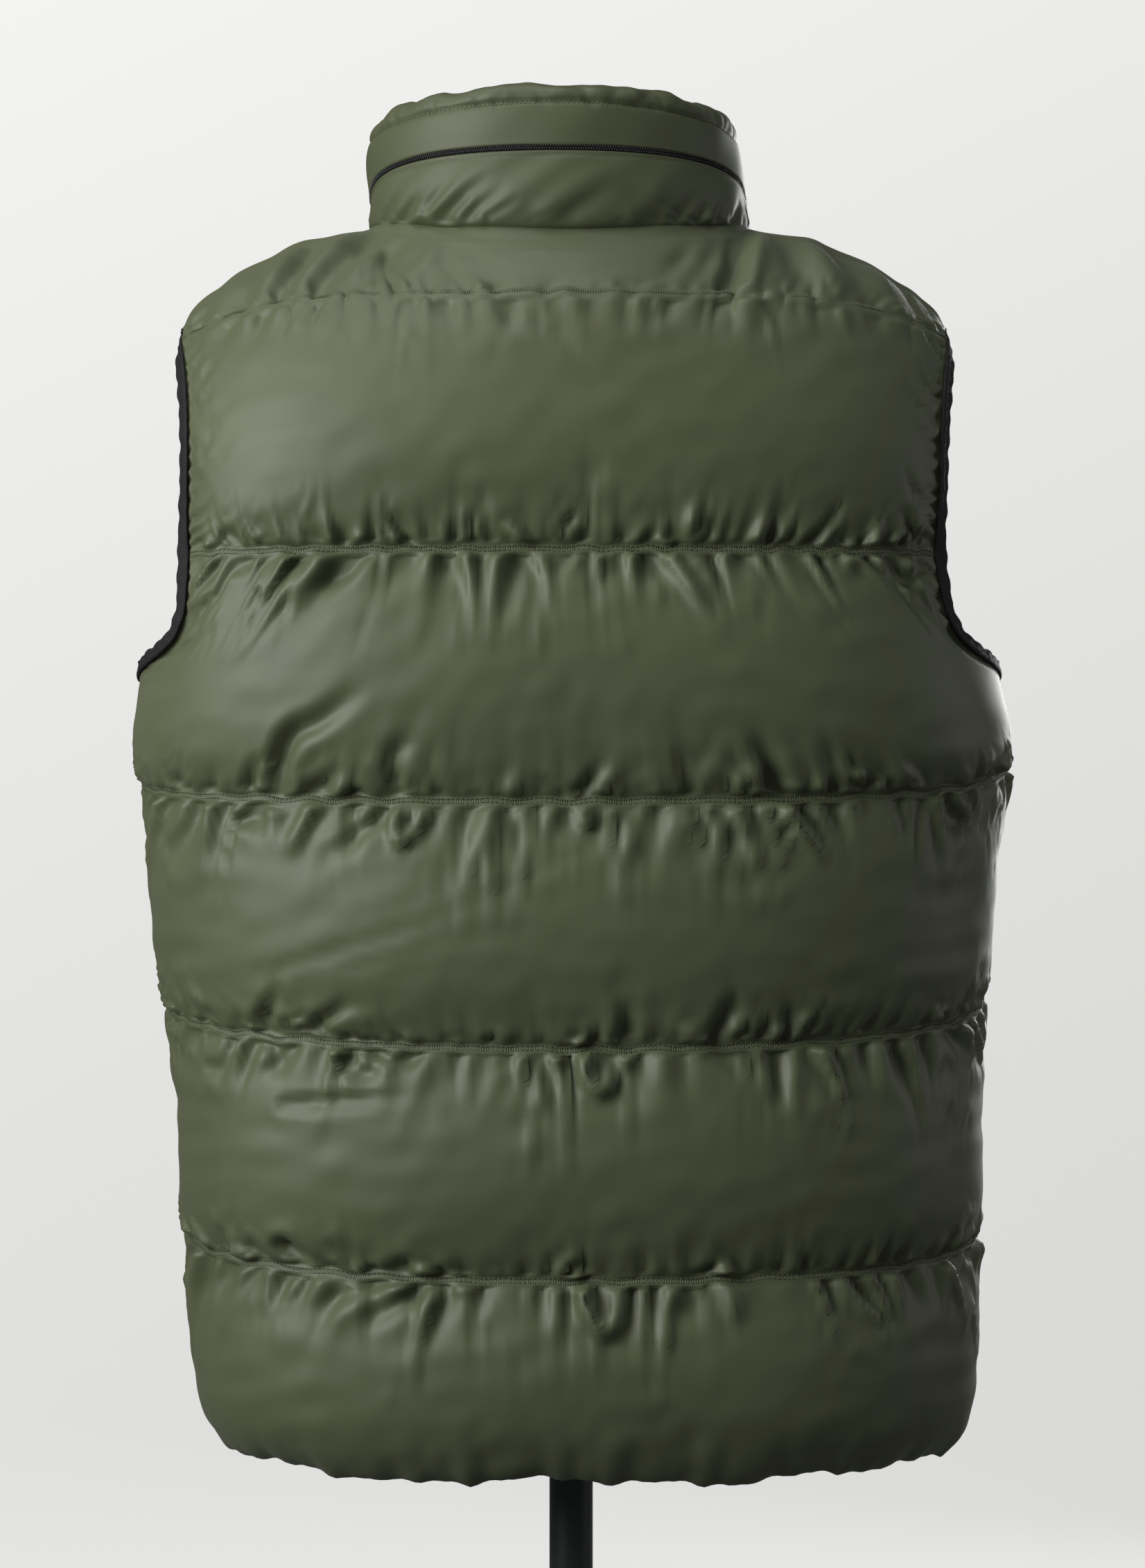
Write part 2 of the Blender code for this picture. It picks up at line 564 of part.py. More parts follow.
def collar_band():
    """Upper part of the collar, a rolled band that holds the stowed hood."""
    sections = []
    for angle in collar_angles():
        z0 = zip_line(angle) + COLLAR["zip_height"] / 2 + SEAM_GAP
        z1 = collar_top(angle)
        section = [collar_point(angle, mix(z0, z1, share), inset) for share, inset in COLLAR["band"]]
        sections.append(level_ends(section, angle))
    obj = closed_loft("collar_band", sections)
    paint(obj, "collar_cloth", COLLAR_CLOTH)


def hood_zip():
    """Zip of the hood pocket, a narrow strip between the two collar pieces."""
    sections = []
    for angle in collar_angles()[1:-1]:
        z0 = zip_line(angle) - COLLAR["zip_height"] / 2
        z1 = zip_line(angle) + COLLAR["zip_height"] / 2
        near = COLLAR["zip_inset"]
        far = near + COLLAR["zip_depth"]
        sections.append([collar_point(angle, z0, near), collar_point(angle, z1, near),
                         collar_point(angle, z1, far), collar_point(angle, z0, far)])
    obj = closed_loft("hood_zip", sections)
    paint(obj, "zip_tape", ZIP_TAPE)


def armhole_binding(name, side):
    """Black tape that closes the padded edge, all round one armhole."""
    climb = [(t, True) for t in ROWS if t > UNDERARM_ROW + 0.01]
    path = climb + [(t, False) for t, _ in climb[-2::-1]] + [(UNDERARM_ROW, True)]
    frames = []
    for t, back in path:
        s, t = np.array([side * (1 - EDGE_TRIM)]), np.array([min(t, 6 - TOP_TRIM)])
        point, normal, _ = shell_frame(s, t, back)
        swell = loft(s, t, point, back)[0]
        frames.append((point[0], rim_normal(s, t, normal, back)[0], FACE + swell))
    sections = []
    for k, (point, normal, face) in enumerate(frames):
        run = frames[(k + 1) % len(frames)][0] - frames[k - 1][0]
        away = unit(np.cross(run, normal)) * -side
        near = point + away * BINDING["gap"]
        far = near + away * BINDING["width"]
        mid = near + away * BINDING["width"] * BINDING["mid"]
        sections.append([near + normal * face, mid + normal * BINDING["outer"],
                         far + normal * BINDING["edge"], far - normal * BINDING["edge"],
                         mid - normal * BINDING["inner"], near - normal * LINING])
    falling = [len(climb) - 1 <= k < len(path) - 1 for k in range(len(path))]
    obj = closed_loft(name, sections, ring=True, falling=falling)
    paint(obj, "binding_tape", BINDING_TAPE)


# ---------------------------------------------------------------- front zip
def front_line():
    """Centre-front path from the hem to the collar's top: point and outward direction in the YZ plane."""
    path = []
    for t in ROWS:
        point, normal, _ = shell_frame(np.array([CENTRE_COLUMN]), np.array([t]), False)
        path.append((point[0], normal[0]))
    end = front_neck_end()
    top = collar_top(end)
    bottom = float(neck_ring(np.array(end))[2])
    for share in (0.25, 0.5, 0.75, 1.0):
        point = collar_point(end, mix(bottom, top, share), 4.0 * MM)
        path.append((point, np.array([0.0, -1.0, 0.0])))
    centred = []
    for point, normal in path:
        x = float(smooth(point[2], SHELL_LEVELS, 4))
        centred.append((np.array([x, point[1], point[2]]), unit(np.array([0.0, normal[1], normal[2]]))))
    return centred


def zip_strip(name, x0, x1, depth, look):
    """Strip down the front from x0 to x1, half of its depth to either side of the shell."""
    out = depth / 2
    sections = []
    for point, normal in front_line():
        near, far = point + normal * out, point + normal * (out - depth)
        sections.append([near + np.array([x0, 0, 0]), near + np.array([x1, 0, 0]),
                         far + np.array([x1, 0, 0]), far + np.array([x0, 0, 0])])
    obj = closed_loft(name, sections)
    paint(obj, name, look)


def box_mesh(bm, low, high):
    made = bmesh.ops.create_cube(bm, size=1.0)["verts"]
    for vert in made:
        vert.co = Vector([mix(low[k], high[k], vert.co[k] + 0.5) for k in range(3)])
    return made


def cut_box(obj, name, low, high, operation):
    bm = bmesh.new()
    box_mesh(bm, low, high)
    cutter = add_object(name, bm)
    cutter.hide_render = True
    cutter.display_type = "WIRE"
    modifier = obj.modifiers.new(name, "BOOLEAN")
    modifier.operation = operation
    modifier.object = cutter
    return cutter


def slider_place():
    """Middle of the slider's back face on the zip chain, and how far the chain leans there."""
    line = front_line()
    height = line[-1][0][2] - SLIDER["below_top"]
    heights = [point[2] for point, _ in line]
    depths = [point[1] for point, _ in line]
    low, high = (float(np.interp(height + end * SLIDER["height"] / 2, heights, depths)) for end in (-1, 1))
    lean = math.atan2(high - low, SLIDER["height"])
    y = (low + high) / 2 - ZIP["chain_depth"] / 2 - SLIDER["clearance"]
    return Vector((float(smooth(height, SHELL_LEVELS, 4)), y, height)), lean


def bar_axis():
    """Centre of the pull's bar, under the slider's bridge."""
    place, lean = slider_place()
    out = SLIDER["depth"] + PULL["bar"] / 2 + 2 * SEAM_GAP
    return place + Vector((0, -out * math.cos(lean), out * math.sin(lean)))


def mirrored(outline):
    """The other half of an outline about its middle, in running order."""
    return [(-x, z) for x, z in reversed(outline)]


def extruded(name, outline, y0, y1):
    """Flat outline in XZ, given thickness along Y."""
    bm = bmesh.new()
    face = bm.faces.new([bm.verts.new((x, y0, z)) for x, z in outline])
    front = bmesh.ops.extrude_face_region(bm, geom=[face])["geom"]
    for vert in [g for g in front if isinstance(g, bmesh.types.BMVert)]:
        vert.co.y = y1
    return add_object(name, bm, 30)


def zip_slider():
    half, d = SLIDER["width"] / 2, SLIDER["depth"]
    right = [(x * half, z * SLIDER["height"] / 2) for x, z in SLIDER["outline"]]
    obj = extruded("zip_slider", right + mirrored(right), 0, -d)
    bw, bh = SLIDER["bridge_width"] / 2, SLIDER["bridge_height"] / 2
    reach, wall = SLIDER["bridge_reach"], SLIDER["bridge_wall"]
    block = cut_box(obj, "bridge_block", Vector((-bw, -d - reach, -bh)), Vector((bw, -d / 2, bh)), "UNION")
    window = cut_box(obj, "bridge_window", Vector((-bw - MM, -d - reach + wall, -bh + wall)),
                     Vector((bw + MM, -d, bh - wall)), "DIFFERENCE")
    place, lean = slider_place()
    for piece in (obj, block, window):
        piece.location = place
        piece.rotation_euler.x = -lean
    paint(obj, "zip_metal", ZIP_METAL)


def zip_pull():
    """Flat pull tab; its origin is the bar's axis, so it swings about X."""
    half, top = PULL["thickness"] / 2, PULL["bar"] / 2
    right = [(x * PULL["width"] / 2, top - z * (PULL["length"] + top)) for x, z in PULL["outline"]]
    obj = extruded("zip_pull", right + mirrored(right), half, -half)
    eye = PULL["eye_width"] / 2
    cutter = cut_box(obj, "pull_eye", Vector((-eye, -half - MM, -top - PULL["eye_height"])),
                     Vector((eye, half + MM, -top)), "DIFFERENCE")
    for piece in (obj, cutter):
        piece.location = bar_axis()
        piece.rotation_euler.x = -slider_place()[1] - math.radians(PULL["lean"])
    paint(obj, "zip_metal", ZIP_METAL)


# ---------------------------------------------------------------- dress form and stand
def form_ridge(x):
    """Shoulder line of the form: nearest the gilet at one place, and bending away from there."""
    d = FORM["rest_at"] - NECK["half"]
    seam = NECK["z_side"] - SHOULDER["slope"] * d - SHOULDER["drop"] * d * d
    slope = SHOULDER["slope"] + 2 * SHOULDER["drop"] * d
    past = x - FORM["rest_at"]
    bend = np.where(past > 0, FORM["tip_bend"], FORM["neck_bend"])
    return seam - LINING - FORM["clearance"] - slope * past - bend * past ** 2


def form_top(s, back):
    size = np.abs(s)
    angle = np.minimum(size / FORM["neck_share"], 1) * math.pi / 2
    if not back:
        angle = math.pi - angle
    share = np.cos(angle)
    y = NECK["centre"] + np.where(share > 0, FORM["neck_back"], FORM["neck_front"]) * share
    z = mix(float(form_ridge(FORM["neck_half"])), FORM["neck_z_back"] if back else FORM["neck_z_front"],
            np.abs(share) ** FORM["neck_power"])
    neck = np.stack([FORM["neck_half"] * np.sin(angle), y, z], -1)
    out = np.clip((size - FORM["neck_share"]) / (1 - FORM["neck_share"]), 0, 1)
    x = mix(FORM["neck_half"], FORM["tip"], out)
    ridge = np.stack([x, NECK["centre"] + 0 * x, form_ridge(x)], -1)
    top = np.where((size > FORM["neck_share"])[..., None], ridge, neck)
    top[..., 0] *= np.where(s < 0, -1, 1)
    return top


def form_point(s, row, back):
    """Rows 0 to 1 climb the body, 1 to 2 roll over to the neck and the shoulder line."""
    s, row = np.broadcast_arrays(np.asarray(s, float), np.asarray(row, float))
    z = mix(FORM_LEVELS[0][0], FORM_LEVELS[-1][0], np.minimum(row, 1))
    across, along = superellipse(np.abs(s) * math.pi / 2, FORM["squareness"])
    low = np.stack([np.where(s < 0, -1, 1) * smooth(z, FORM_LEVELS, 1) * across,
                    smooth(z, FORM_LEVELS, 2 if back else 3) * along * (1 if back else -1), z], -1)
    top = form_top(s, back)
    last = np.radians(mix(FORM["last_turn"], 90, np.minimum(np.abs(s) / FORM["neck_share"], 1) ** 2))
    turn = last * np.maximum(row - 1, 0)
    share = ((1 - np.cos(turn)) / (1 - np.cos(last)))[..., None]
    point = mix(low, top, share)
    point[..., 2] = mix(low[..., 2], top[..., 2], np.sin(turn) / np.sin(last))
    point[..., 0] += smooth(point[..., 2], SHELL_LEVELS, 4)
    return point


def form_torso():
    half, turns = FORM["columns"], FORM["turns"]
    columns = [j / half for j in range(-half, half + 1)]
    rows = list(FORM["rows"]) + [1 + k / turns for k in range(turns + 1)]
    bm = bmesh.new()
    for back in (True, False):
        s, row = np.meshgrid(columns, rows)
        grid_faces(bm, form_point(s, row, back), back)
    bmesh.ops.remove_doubles(bm, verts=bm.verts, dist=1e-6)
    low = FORM_LEVELS[0][0] + 1e-5
    edges = [e for e in bm.edges if e.is_boundary]
    rim = [e for e in edges if all(v.co.z < low for v in e.verts)]
    neck = [e for e in edges if e not in rim]
    bmesh.ops.holes_fill(bm, edges=rim)
    raised = bmesh.ops.extrude_edge_only(bm, edges=neck)["geom"]
    ratio = FORM["neck_top_half"] / FORM["neck_half"]
    sway = float(smooth(FORM["neck_top"], SHELL_LEVELS, 4))
    for vert in [g for g in raised if isinstance(g, bmesh.types.BMVert)]:
        here = float(smooth(vert.co.z, SHELL_LEVELS, 4))
        vert.co = Vector(((vert.co.x - here) * ratio + sway,
                          NECK["centre"] + (vert.co.y - NECK["centre"]) * ratio, FORM["neck_top"]))
    bmesh.ops.holes_fill(bm, edges=[g for g in raised if isinstance(g, bmesh.types.BMEdge)])
    obj = add_object("form_torso", bm, 50)
    paint(obj, "form_jersey", FORM_JERSEY)


def turned(name, profile, centre, steps=48, stretch=1.0):
    """Solid of revolution about Z from an (radius, height) profile that starts and ends on the axis."""
    sections = []
    for k in range(steps):
        angle = 2 * math.pi * k / steps
        sections.append([(centre[0] + r * math.cos(angle), centre[1] + r * stretch * math.sin(angle), z)
                         for r, z in profile])
    bm = bmesh.new()
    rows = [[bm.verts.new(p) for p in section] for section in sections]
    for one, two in zip(rows, rows[1:] + rows[:1]):
        for j in range(len(profile) - 1):
            bm.faces.new((one[j], two[j], two[j + 1], one[j + 1]))
    for end in (0, -1):
        bm.faces.new([row[end] for row in rows])
    return add_object(name, bm, 35)


def neck_cap():
    z = FORM["neck_top"] + SEAM_GAP
    r = FORM["neck_top_half"]
    profile = [(r + out, z + rise) for out, rise in CAP["rim"]]
    profile += [(r * share, z + rise) for share, rise in CAP["crown"]]
    centre = (float(smooth(FORM["neck_top"], SHELL_LEVELS, 4)), NECK["centre"])
    obj = turned("neck_cap", profile, centre, 40, CAP["stretch"])
    paint(obj, "cap_wood", CAP_WOOD)


def stand():
    """Round base with a boss, the pole, and the flange under the form."""
    top = FORM_LEVELS[0][0] - SEAM_GAP
    low = top - POLE["flange_height"]
    wide, sleeve = POLE["flange_radius"], POLE["radius"] + POLE["sleeve_wall"]
    radius, thick, edge = BASE["radius"], BASE["thickness"], BASE["edge"]
    boss, boss_top = BASE["boss_radius"], BASE["boss_height"]
    plate = [(radius - edge, 0), (radius, edge), (radius, thick - edge), (radius - edge, thick),
             (boss + edge, thick), (boss, thick + edge), (boss, boss_top - edge), (boss - edge, boss_top)]
    rod = [(POLE["radius"], boss_top + SEAM_GAP), (POLE["radius"], low - SEAM_GAP)]
    flange = [(sleeve - MM, low), (sleeve, low + MM), (sleeve, top - 2 * POLE["flange_edge"]),
              (wide, top - POLE["flange_edge"]), (wide, top)]
    for name, profile, steps in (("base_plate", plate, 64), ("pole", rod, 32), ("pole_flange", flange, 40)):
        paint(turned(name, profile, (0, 0), steps), "stand_metal", STAND_METAL)


def main():
    for obj in list(bpy.data.objects):
        bpy.data.objects.remove(obj, do_unlink=True)
    padded_panel("back_panel", back_columns(), True)
    padded_panel("front_left", front_columns(1), False)
    padded_panel("front_right", front_columns(-1), False)
    collar_stand()
    collar_band()
    hood_zip()
    armhole_binding("armhole_binding_left", 1)
    armhole_binding("armhole_binding_right", -1)
    edge = ZIP["half"] - ZIP["tape_gap"]
    inner = ZIP["chain"] + SEAM_GAP
    zip_strip("zip_tape_left", inner, edge, ZIP["tape_depth"], ZIP_TAPE)
    zip_strip("zip_tape_right", -edge, -inner, ZIP["tape_depth"], ZIP_TAPE)
    zip_strip("zip_chain", -ZIP["chain"], ZIP["chain"], ZIP["chain_depth"], ZIP_TEETH)
    zip_slider()
    zip_pull()
    form_torso()
    neck_cap()
    stand()


main()
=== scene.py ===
# Looks of a quilted down gilet that hangs on a limbless dress form.
# Metres, +Z up. The zip faces -Y, the wearer's left is +X, and the floor is z = 0 under the pole.
import math

import bmesh
import bpy
import numpy as np
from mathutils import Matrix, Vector


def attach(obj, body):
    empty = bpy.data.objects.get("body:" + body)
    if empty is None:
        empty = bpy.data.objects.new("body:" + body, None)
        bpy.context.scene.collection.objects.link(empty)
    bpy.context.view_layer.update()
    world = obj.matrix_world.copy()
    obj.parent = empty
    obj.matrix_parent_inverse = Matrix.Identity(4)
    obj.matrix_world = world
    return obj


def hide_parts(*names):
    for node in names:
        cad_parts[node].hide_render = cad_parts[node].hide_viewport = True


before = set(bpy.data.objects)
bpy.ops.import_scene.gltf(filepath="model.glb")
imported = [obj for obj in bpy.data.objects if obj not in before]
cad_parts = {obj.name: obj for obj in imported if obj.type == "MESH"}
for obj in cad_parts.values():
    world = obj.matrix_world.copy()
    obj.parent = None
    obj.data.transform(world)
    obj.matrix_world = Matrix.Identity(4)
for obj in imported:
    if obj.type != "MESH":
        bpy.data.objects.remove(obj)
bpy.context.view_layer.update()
mm = 0.001
body = "gilet_on_form"
quarter = math.pi / 2
fullWave = 6.28                                              # one wave, in radians


# the shell that all panels share, laid out as the solids are
shell = {
    "lining": 2.0 * mm, "face": 1.5 * mm, "zipHalf": 0.0105,
    "underarm": 0.968, "rollHeight": 1.080,                  # the shoulders roll over above this height
    "lastTurnBack": 58, "lastTurnFront": 52,                 # degrees that they have turned at the top
    "neckShare": 0.35,                                       # share of a half that meets the neck
    # how columns crowd at the armholes, how late each quilting line rises towards the sides
    "edgePower": 1.4, "risePower": (4.0, 2.4, 2.2, 2.5, 2.5, 2.5),
    # height, half width, back depth, front depth, sway to the wearer's left, squareness
    "levels": ((0.520, 0.198, 0.110, 0.104, -0.009, 2.4), (0.532, 0.208, 0.117, 0.111, -0.009, 2.4),
               (0.548, 0.2150, 0.122, 0.116, -0.009, 2.4), (0.580, 0.2185, 0.125, 0.119, -0.008, 2.4),
               (0.620, 0.2210, 0.126, 0.120, -0.007, 2.4), (0.660, 0.2250, 0.127, 0.121, -0.006, 2.4),
               (0.720, 0.2240, 0.128, 0.122, -0.005, 2.4), (0.790, 0.2330, 0.130, 0.124, -0.002, 2.4),
               (0.840, 0.2350, 0.131, 0.124, -0.001, 2.4), (0.885, 0.2400, 0.132, 0.124, -0.001, 2.5),
               (0.930, 0.2475, 0.132, 0.124, -0.001, 2.6), (0.955, 0.2440, 0.131, 0.123, 0.000, 2.7),
               (1.000, 0.2380, 0.129, 0.121, 0.003, 2.9), (1.040, 0.2360, 0.127, 0.119, 0.005, 3.0),
               (1.080, 0.2360, 0.126, 0.118, 0.004, 3.0), (1.170, 0.2360, 0.126, 0.118, 0.004, 3.0),
               (1.210, 0.2360, 0.126, 0.118, 0.006, 3.0), (1.300, 0.2360, 0.126, 0.118, 0.009, 3.0)),
    # quilting lines from the hem up: centre back, centre front, left side, right side
    "seams": ((0.5265, 0.531, 0.555, 0.550), (0.6405, 0.648, 0.665, 0.661), (0.7675, 0.775, 0.793, 0.795),
              (0.9025, 0.906, 0.915, 0.930), (1.0400, 1.034, 1.040, 1.040), (1.1760, 1.116, 1.160, 1.160)),
    # armhole edge: height, degrees round the ring at the back and at the front
    "armhole": ((0.968, 90.0, 90.0), (0.970, 82.0, 81.0), (0.974, 73.0, 71.0), (0.980, 63.5, 60.0),
                (0.988, 57.0, 52.0), (1.000, 53.5, 48.0), (1.020, 52.0, 46.0), (1.040, 51.5, 45.0),
                (1.080, 51.5, 44.5)),
}
# half width, centre, depths and heights of the neck seam, and how far its rim leans outwards
neck = {"half": 0.1085, "centre": 0.012, "back": 0.076, "front": 0.090,
        "zSide": 1.2265, "zBack": 1.2170, "zFront": 1.1650,
        "leanSide": 0.36, "leanBack": 1.22, "leanFront": 0.81}
shoulder = {"tip": 0.2235, "slope": 0.30, "drop": 1.60}


def smooth(x, table, column):
    # smooth curve through one column of a table
    xs = np.array([row[0] for row in table])
    ys = np.array([row[column] for row in table])
    slopes = np.gradient(ys, xs)
    x = np.clip(x, xs[0], xs[-1])
    k = np.clip(np.searchsorted(xs, x) - 1, 0, len(xs) - 2)
    step = xs[k + 1] - xs[k]
    f = (x - xs[k]) / step
    return (ys[k] * (1 - f) ** 2 * (1 + 2 * f) + ys[k + 1] * f ** 2 * (3 - 2 * f)
            + slopes[k] * step * f * (1 - f) ** 2 - slopes[k + 1] * step * f ** 2 * (1 - f))


def mix(a, b, share):
    return a + (b - a) * share


def unit(vectors):
    return vectors / np.maximum(np.linalg.norm(vectors, axis=-1, keepdims=True), 1e-12)


def smoothStep(x):
    x = np.clip(x, 0, 1)
    return x * x * (3 - 2 * x)


def runAlong(path):
    # distance along a path at each of its points
    return np.concatenate([[0], np.cumsum(np.linalg.norm(np.diff(path, axis=0), axis=1))])


def placesAt(at, run, path):
    # places at given distances along a path
    return np.stack([np.interp(at, run, path[:, k]) for k in range(3)], -1)


def nearestRow(levels, k):
    return int(np.argmin(np.abs(levels - k)))


def neighbours(grid):
    # sum of the four neighbours of each point of a grid
    wide = np.pad(grid, ((1, 1), (1, 1), (0, 0)), mode="edge")
    return wide[:-2, 1:-1] + wide[2:, 1:-1] + wide[1:-1, :-2] + wide[1:-1, 2:]


def addObject(name, data):
    obj = bpy.data.objects.new(name, data)
    bpy.context.collection.objects.link(obj)
    return obj


def sway(z):
    return smooth(z, shell["levels"], 4)


def edgeAngle(z, back):
    return np.radians(smooth(z, shell["armhole"], 1 if back else 2))


def startAngle(z, back):
    share = 0.0 if back else shell["zipHalf"] / smooth(z, shell["levels"], 1)
    power = smooth(z, shell["levels"], 5)
    return np.arctan2(share, (1 - share ** power) ** (1 / power))


def ringPoint(theta, z, side, back):
    # point of the shell below the roll of the shoulders, without the sway
    width = smooth(z, shell["levels"], 1)
    depth = smooth(z, shell["levels"], 2 if back else 3)
    power = smooth(z, shell["levels"], 5)
    reach = (np.abs(np.sin(theta)) ** power + np.abs(np.cos(theta)) ** power) ** (-1 / power)
    y = depth * reach * np.cos(theta) * (1 if back else -1)
    return np.stack([side * width * reach * np.sin(theta), y, z + 0 * y], -1)


def seamHeight(k, size, side, back):
    line = shell["seams"][k]
    return mix(line[0 if back else 1], line[2 if side > 0 else 3], size ** shell["risePower"][k])


def neckRing(angle):
    share = np.cos(angle)
    y = neck["centre"] + np.where(share > 0, neck["back"], neck["front"]) * share
    z = mix(neck["zSide"], np.where(share > 0, neck["zBack"], neck["zFront"]), share ** 2)
    return np.stack([neck["half"] * np.sin(angle), y, z], -1)


def frontNeckEnd():
    return math.pi - math.asin(shell["zipHalf"] / neck["half"])


def shellTop(size, side, back):
    # neck seam over the inner columns, then the shoulder seam
    start = 0.0 if back else frontNeckEnd()
    ring = neckRing(mix(start, quarter, np.minimum(size / shell["neckShare"], 1)))
    out = np.clip((size - shell["neckShare"]) / (1 - shell["neckShare"]), 0, 1)
    d = (shoulder["tip"] - neck["half"]) * out
    seam = np.stack([neck["half"] + d, neck["centre"] + 0 * d,
                     neck["zSide"] - shoulder["slope"] * d - shoulder["drop"] * d * d], -1)
    top = np.where((size > shell["neckShare"])[..., None], seam, ring)
    return top * np.array([side, 1, 1])


def upperPoint(size, t, side, back):
    # shell above the armhole's quilting line, t from 4 to 6
    z = mix(seamHeight(4, size, side, back), seamHeight(5, size, side, back), np.minimum(t - 4, 1))
    lowZ = np.minimum(z, shell["rollHeight"])
    start = startAngle(lowZ, back)
    theta = start + (quarter - start) * size - (quarter - edgeAngle(lowZ, back)) * size ** shell["edgePower"]
    low = ringPoint(theta, lowZ, side, back)
    top = shellTop(size, side, back)
    least = shell["lastTurnBack" if back else "lastTurnFront"]
    last = np.radians(mix(least, 90, np.minimum(size / shell["neckShare"], 1) ** 2))
    rise = top[..., 2] - shell["rollHeight"]
    yoke = np.arcsin((seamHeight(5, size, side, back) - shell["rollHeight"]) / rise * np.sin(last))
    turn = np.where(t > 5, mix(yoke, last, t - 5),
                    np.arcsin(np.clip((z - shell["rollHeight"]) / rise, 0, 1) * np.sin(last)))
    point = mix(low, top, ((1 - np.cos(turn)) / (1 - np.cos(last)))[..., None])
    point[..., 2] = np.where((z > shell["rollHeight"]) | (t > 5),
                             shell["rollHeight"] + rise * np.sin(turn) / np.sin(last), low[..., 2])
    return point


def alongPath(points, shares):
    # places at shares of a path's length
    run = runAlong(points)
    return np.interp(np.asarray(shares) * run[-1], run, np.arange(len(points)))


evening = {"rows": 49, "sidePoints": 12, "edgePoints": 90, "radius": 0.24, "rounds": 600}


def underarmGrid(size, shares, side, back):
    # (angle, height) of the row of baffle that the armhole cuts into, evened out so that no cell folds over
    even = np.linspace(0, 1, evening["rows"])
    seamSide, seamTop = seamHeight(3, 1.0, side, back), seamHeight(4, 1.0, side, back)
    heights = np.concatenate([np.linspace(seamSide, shell["underarm"], evening["sidePoints"])[:-1],
                              np.linspace(shell["underarm"], seamTop, evening["edgePoints"])])
    angles = np.where(heights < shell["underarm"], quarter, edgeAngle(heights, back))
    place = alongPath(ringPoint(angles, heights, side, back), even)
    order = np.arange(len(angles))
    right = np.stack([np.interp(place, order, angles), np.interp(place, order, heights)], -1)
    middle = mix(seamHeight(3, 0.0, side, back), seamHeight(4, 0.0, side, back), even)
    left = np.stack([startAngle(middle, back), middle], -1)
    zLow, zTop = seamHeight(3, size, side, back), seamHeight(4, size, side, back)
    startLow, startTop = startAngle(zLow, back), startAngle(zTop, back)
    low = np.stack([startLow + (quarter - startLow) * size, zLow], -1)
    crowd = (quarter - edgeAngle(zTop, back)) * size ** shell["edgePower"]
    top = np.stack([startTop + (quarter - startTop) * size - crowd, zTop], -1)
    s, f = size[None, :, None], even[:, None, None]
    grid = (mix(left[:, None], right[:, None], s) + mix(low[None], top[None], f)
            - mix(mix(low[0], low[-1], s), mix(top[0], top[-1], s), f))
    grid[..., 0] *= evening["radius"]
    for _ in range(evening["rounds"]):
        east, west, north, south = grid[1:-1, 2:], grid[1:-1, :-2], grid[2:, 1:-1], grid[:-2, 1:-1]
        across, up = (east - west) / 2, (north - south) / 2
        alpha = np.sum(up * up, -1, keepdims=True)
        gamma = np.sum(across * across, -1, keepdims=True)
        beta = np.sum(across * up, -1, keepdims=True)
        twist = grid[2:, 2:] - grid[2:, :-2] - grid[:-2, 2:] + grid[:-2, :-2]
        grid[1:-1, 1:-1] = ((alpha * (east + west) + gamma * (north + south) - beta / 2 * twist)
                            / (2 * (alpha + gamma)))
    grid[..., 0] /= evening["radius"]
    at = np.asarray(shares) * (evening["rows"] - 1)
    k = np.minimum(at.astype(int), evening["rows"] - 2)
    return mix(grid[k], grid[k + 1], (at - k)[:, None, None])


# quilted panels
quilting = {
    "columns": 96, "rows": (44, 44, 44, 44, 44, 28),         # grid of a half, with the rows of each baffle
    "crowding": 0.60, "yokeCrowding": 0.36,                  # how much closer rows lie at the seams
    "band": 0.028,                                           # share of a baffle that is stitched flat
    "loft": (20 * mm, 22 * mm, 22 * mm, 22 * mm, 21 * mm, 8 * mm),
    "held": (0.0, 0.05, 0.05, 0.05, 0.05, 1.30, 0.05),       # loft left at each quilting line, hem to neck
    "fullness": 0.72, "lean": 0.86, "tilt": 0.10, "tiltReach": 0.07, "tiltSides": 0.3,
    "sideLoss": 0.86, "sidePower": 2.5, "shoulderPower": 4.5, "shoulderStart": 4.9, "shoulderSpan": 0.7,
    "zipLoss": 0.65, "zipReach": 0.05, "neckFade": 0.36, "overhang": 1.4 * mm, "thinnest": 1.2 * mm,
    "pinnedAbove": 5.65,                                     # level above which the shoulders don't swell
    "start": 0.62, "pinnedFolds": 0.5,                       # shares of loft and folds before it swells
    "hand": 1.2, "crisp": 0.70,                              # strength of placed folds, share laid on again
}
swelling = {"frames": 16, "pressure": 4.0, "growth": 0.004, "cap": 12 * mm, "stiffness": 12.0, "bending": 0.8,
            "pinStiffness": 5.0, "quality": 4, "mass": 0.15, "airDamping": 2.0, "smoothing": 2}


def baffleShares(k):
    u = np.arange(quilting["rows"][k]) / quilting["rows"][k]
    crowding = quilting["yokeCrowding" if k == 5 else "crowding"]
    return u - crowding * np.sin(2 * math.pi * u) / (2 * math.pi)


def awayFromBands(levels):
    # share of a baffle up to the nearest flat band of stitching, which lies just under each seam
    f = levels - np.floor(levels)
    return np.where(f < 0.5, f, np.maximum(1 - f - quilting["band"], 0))


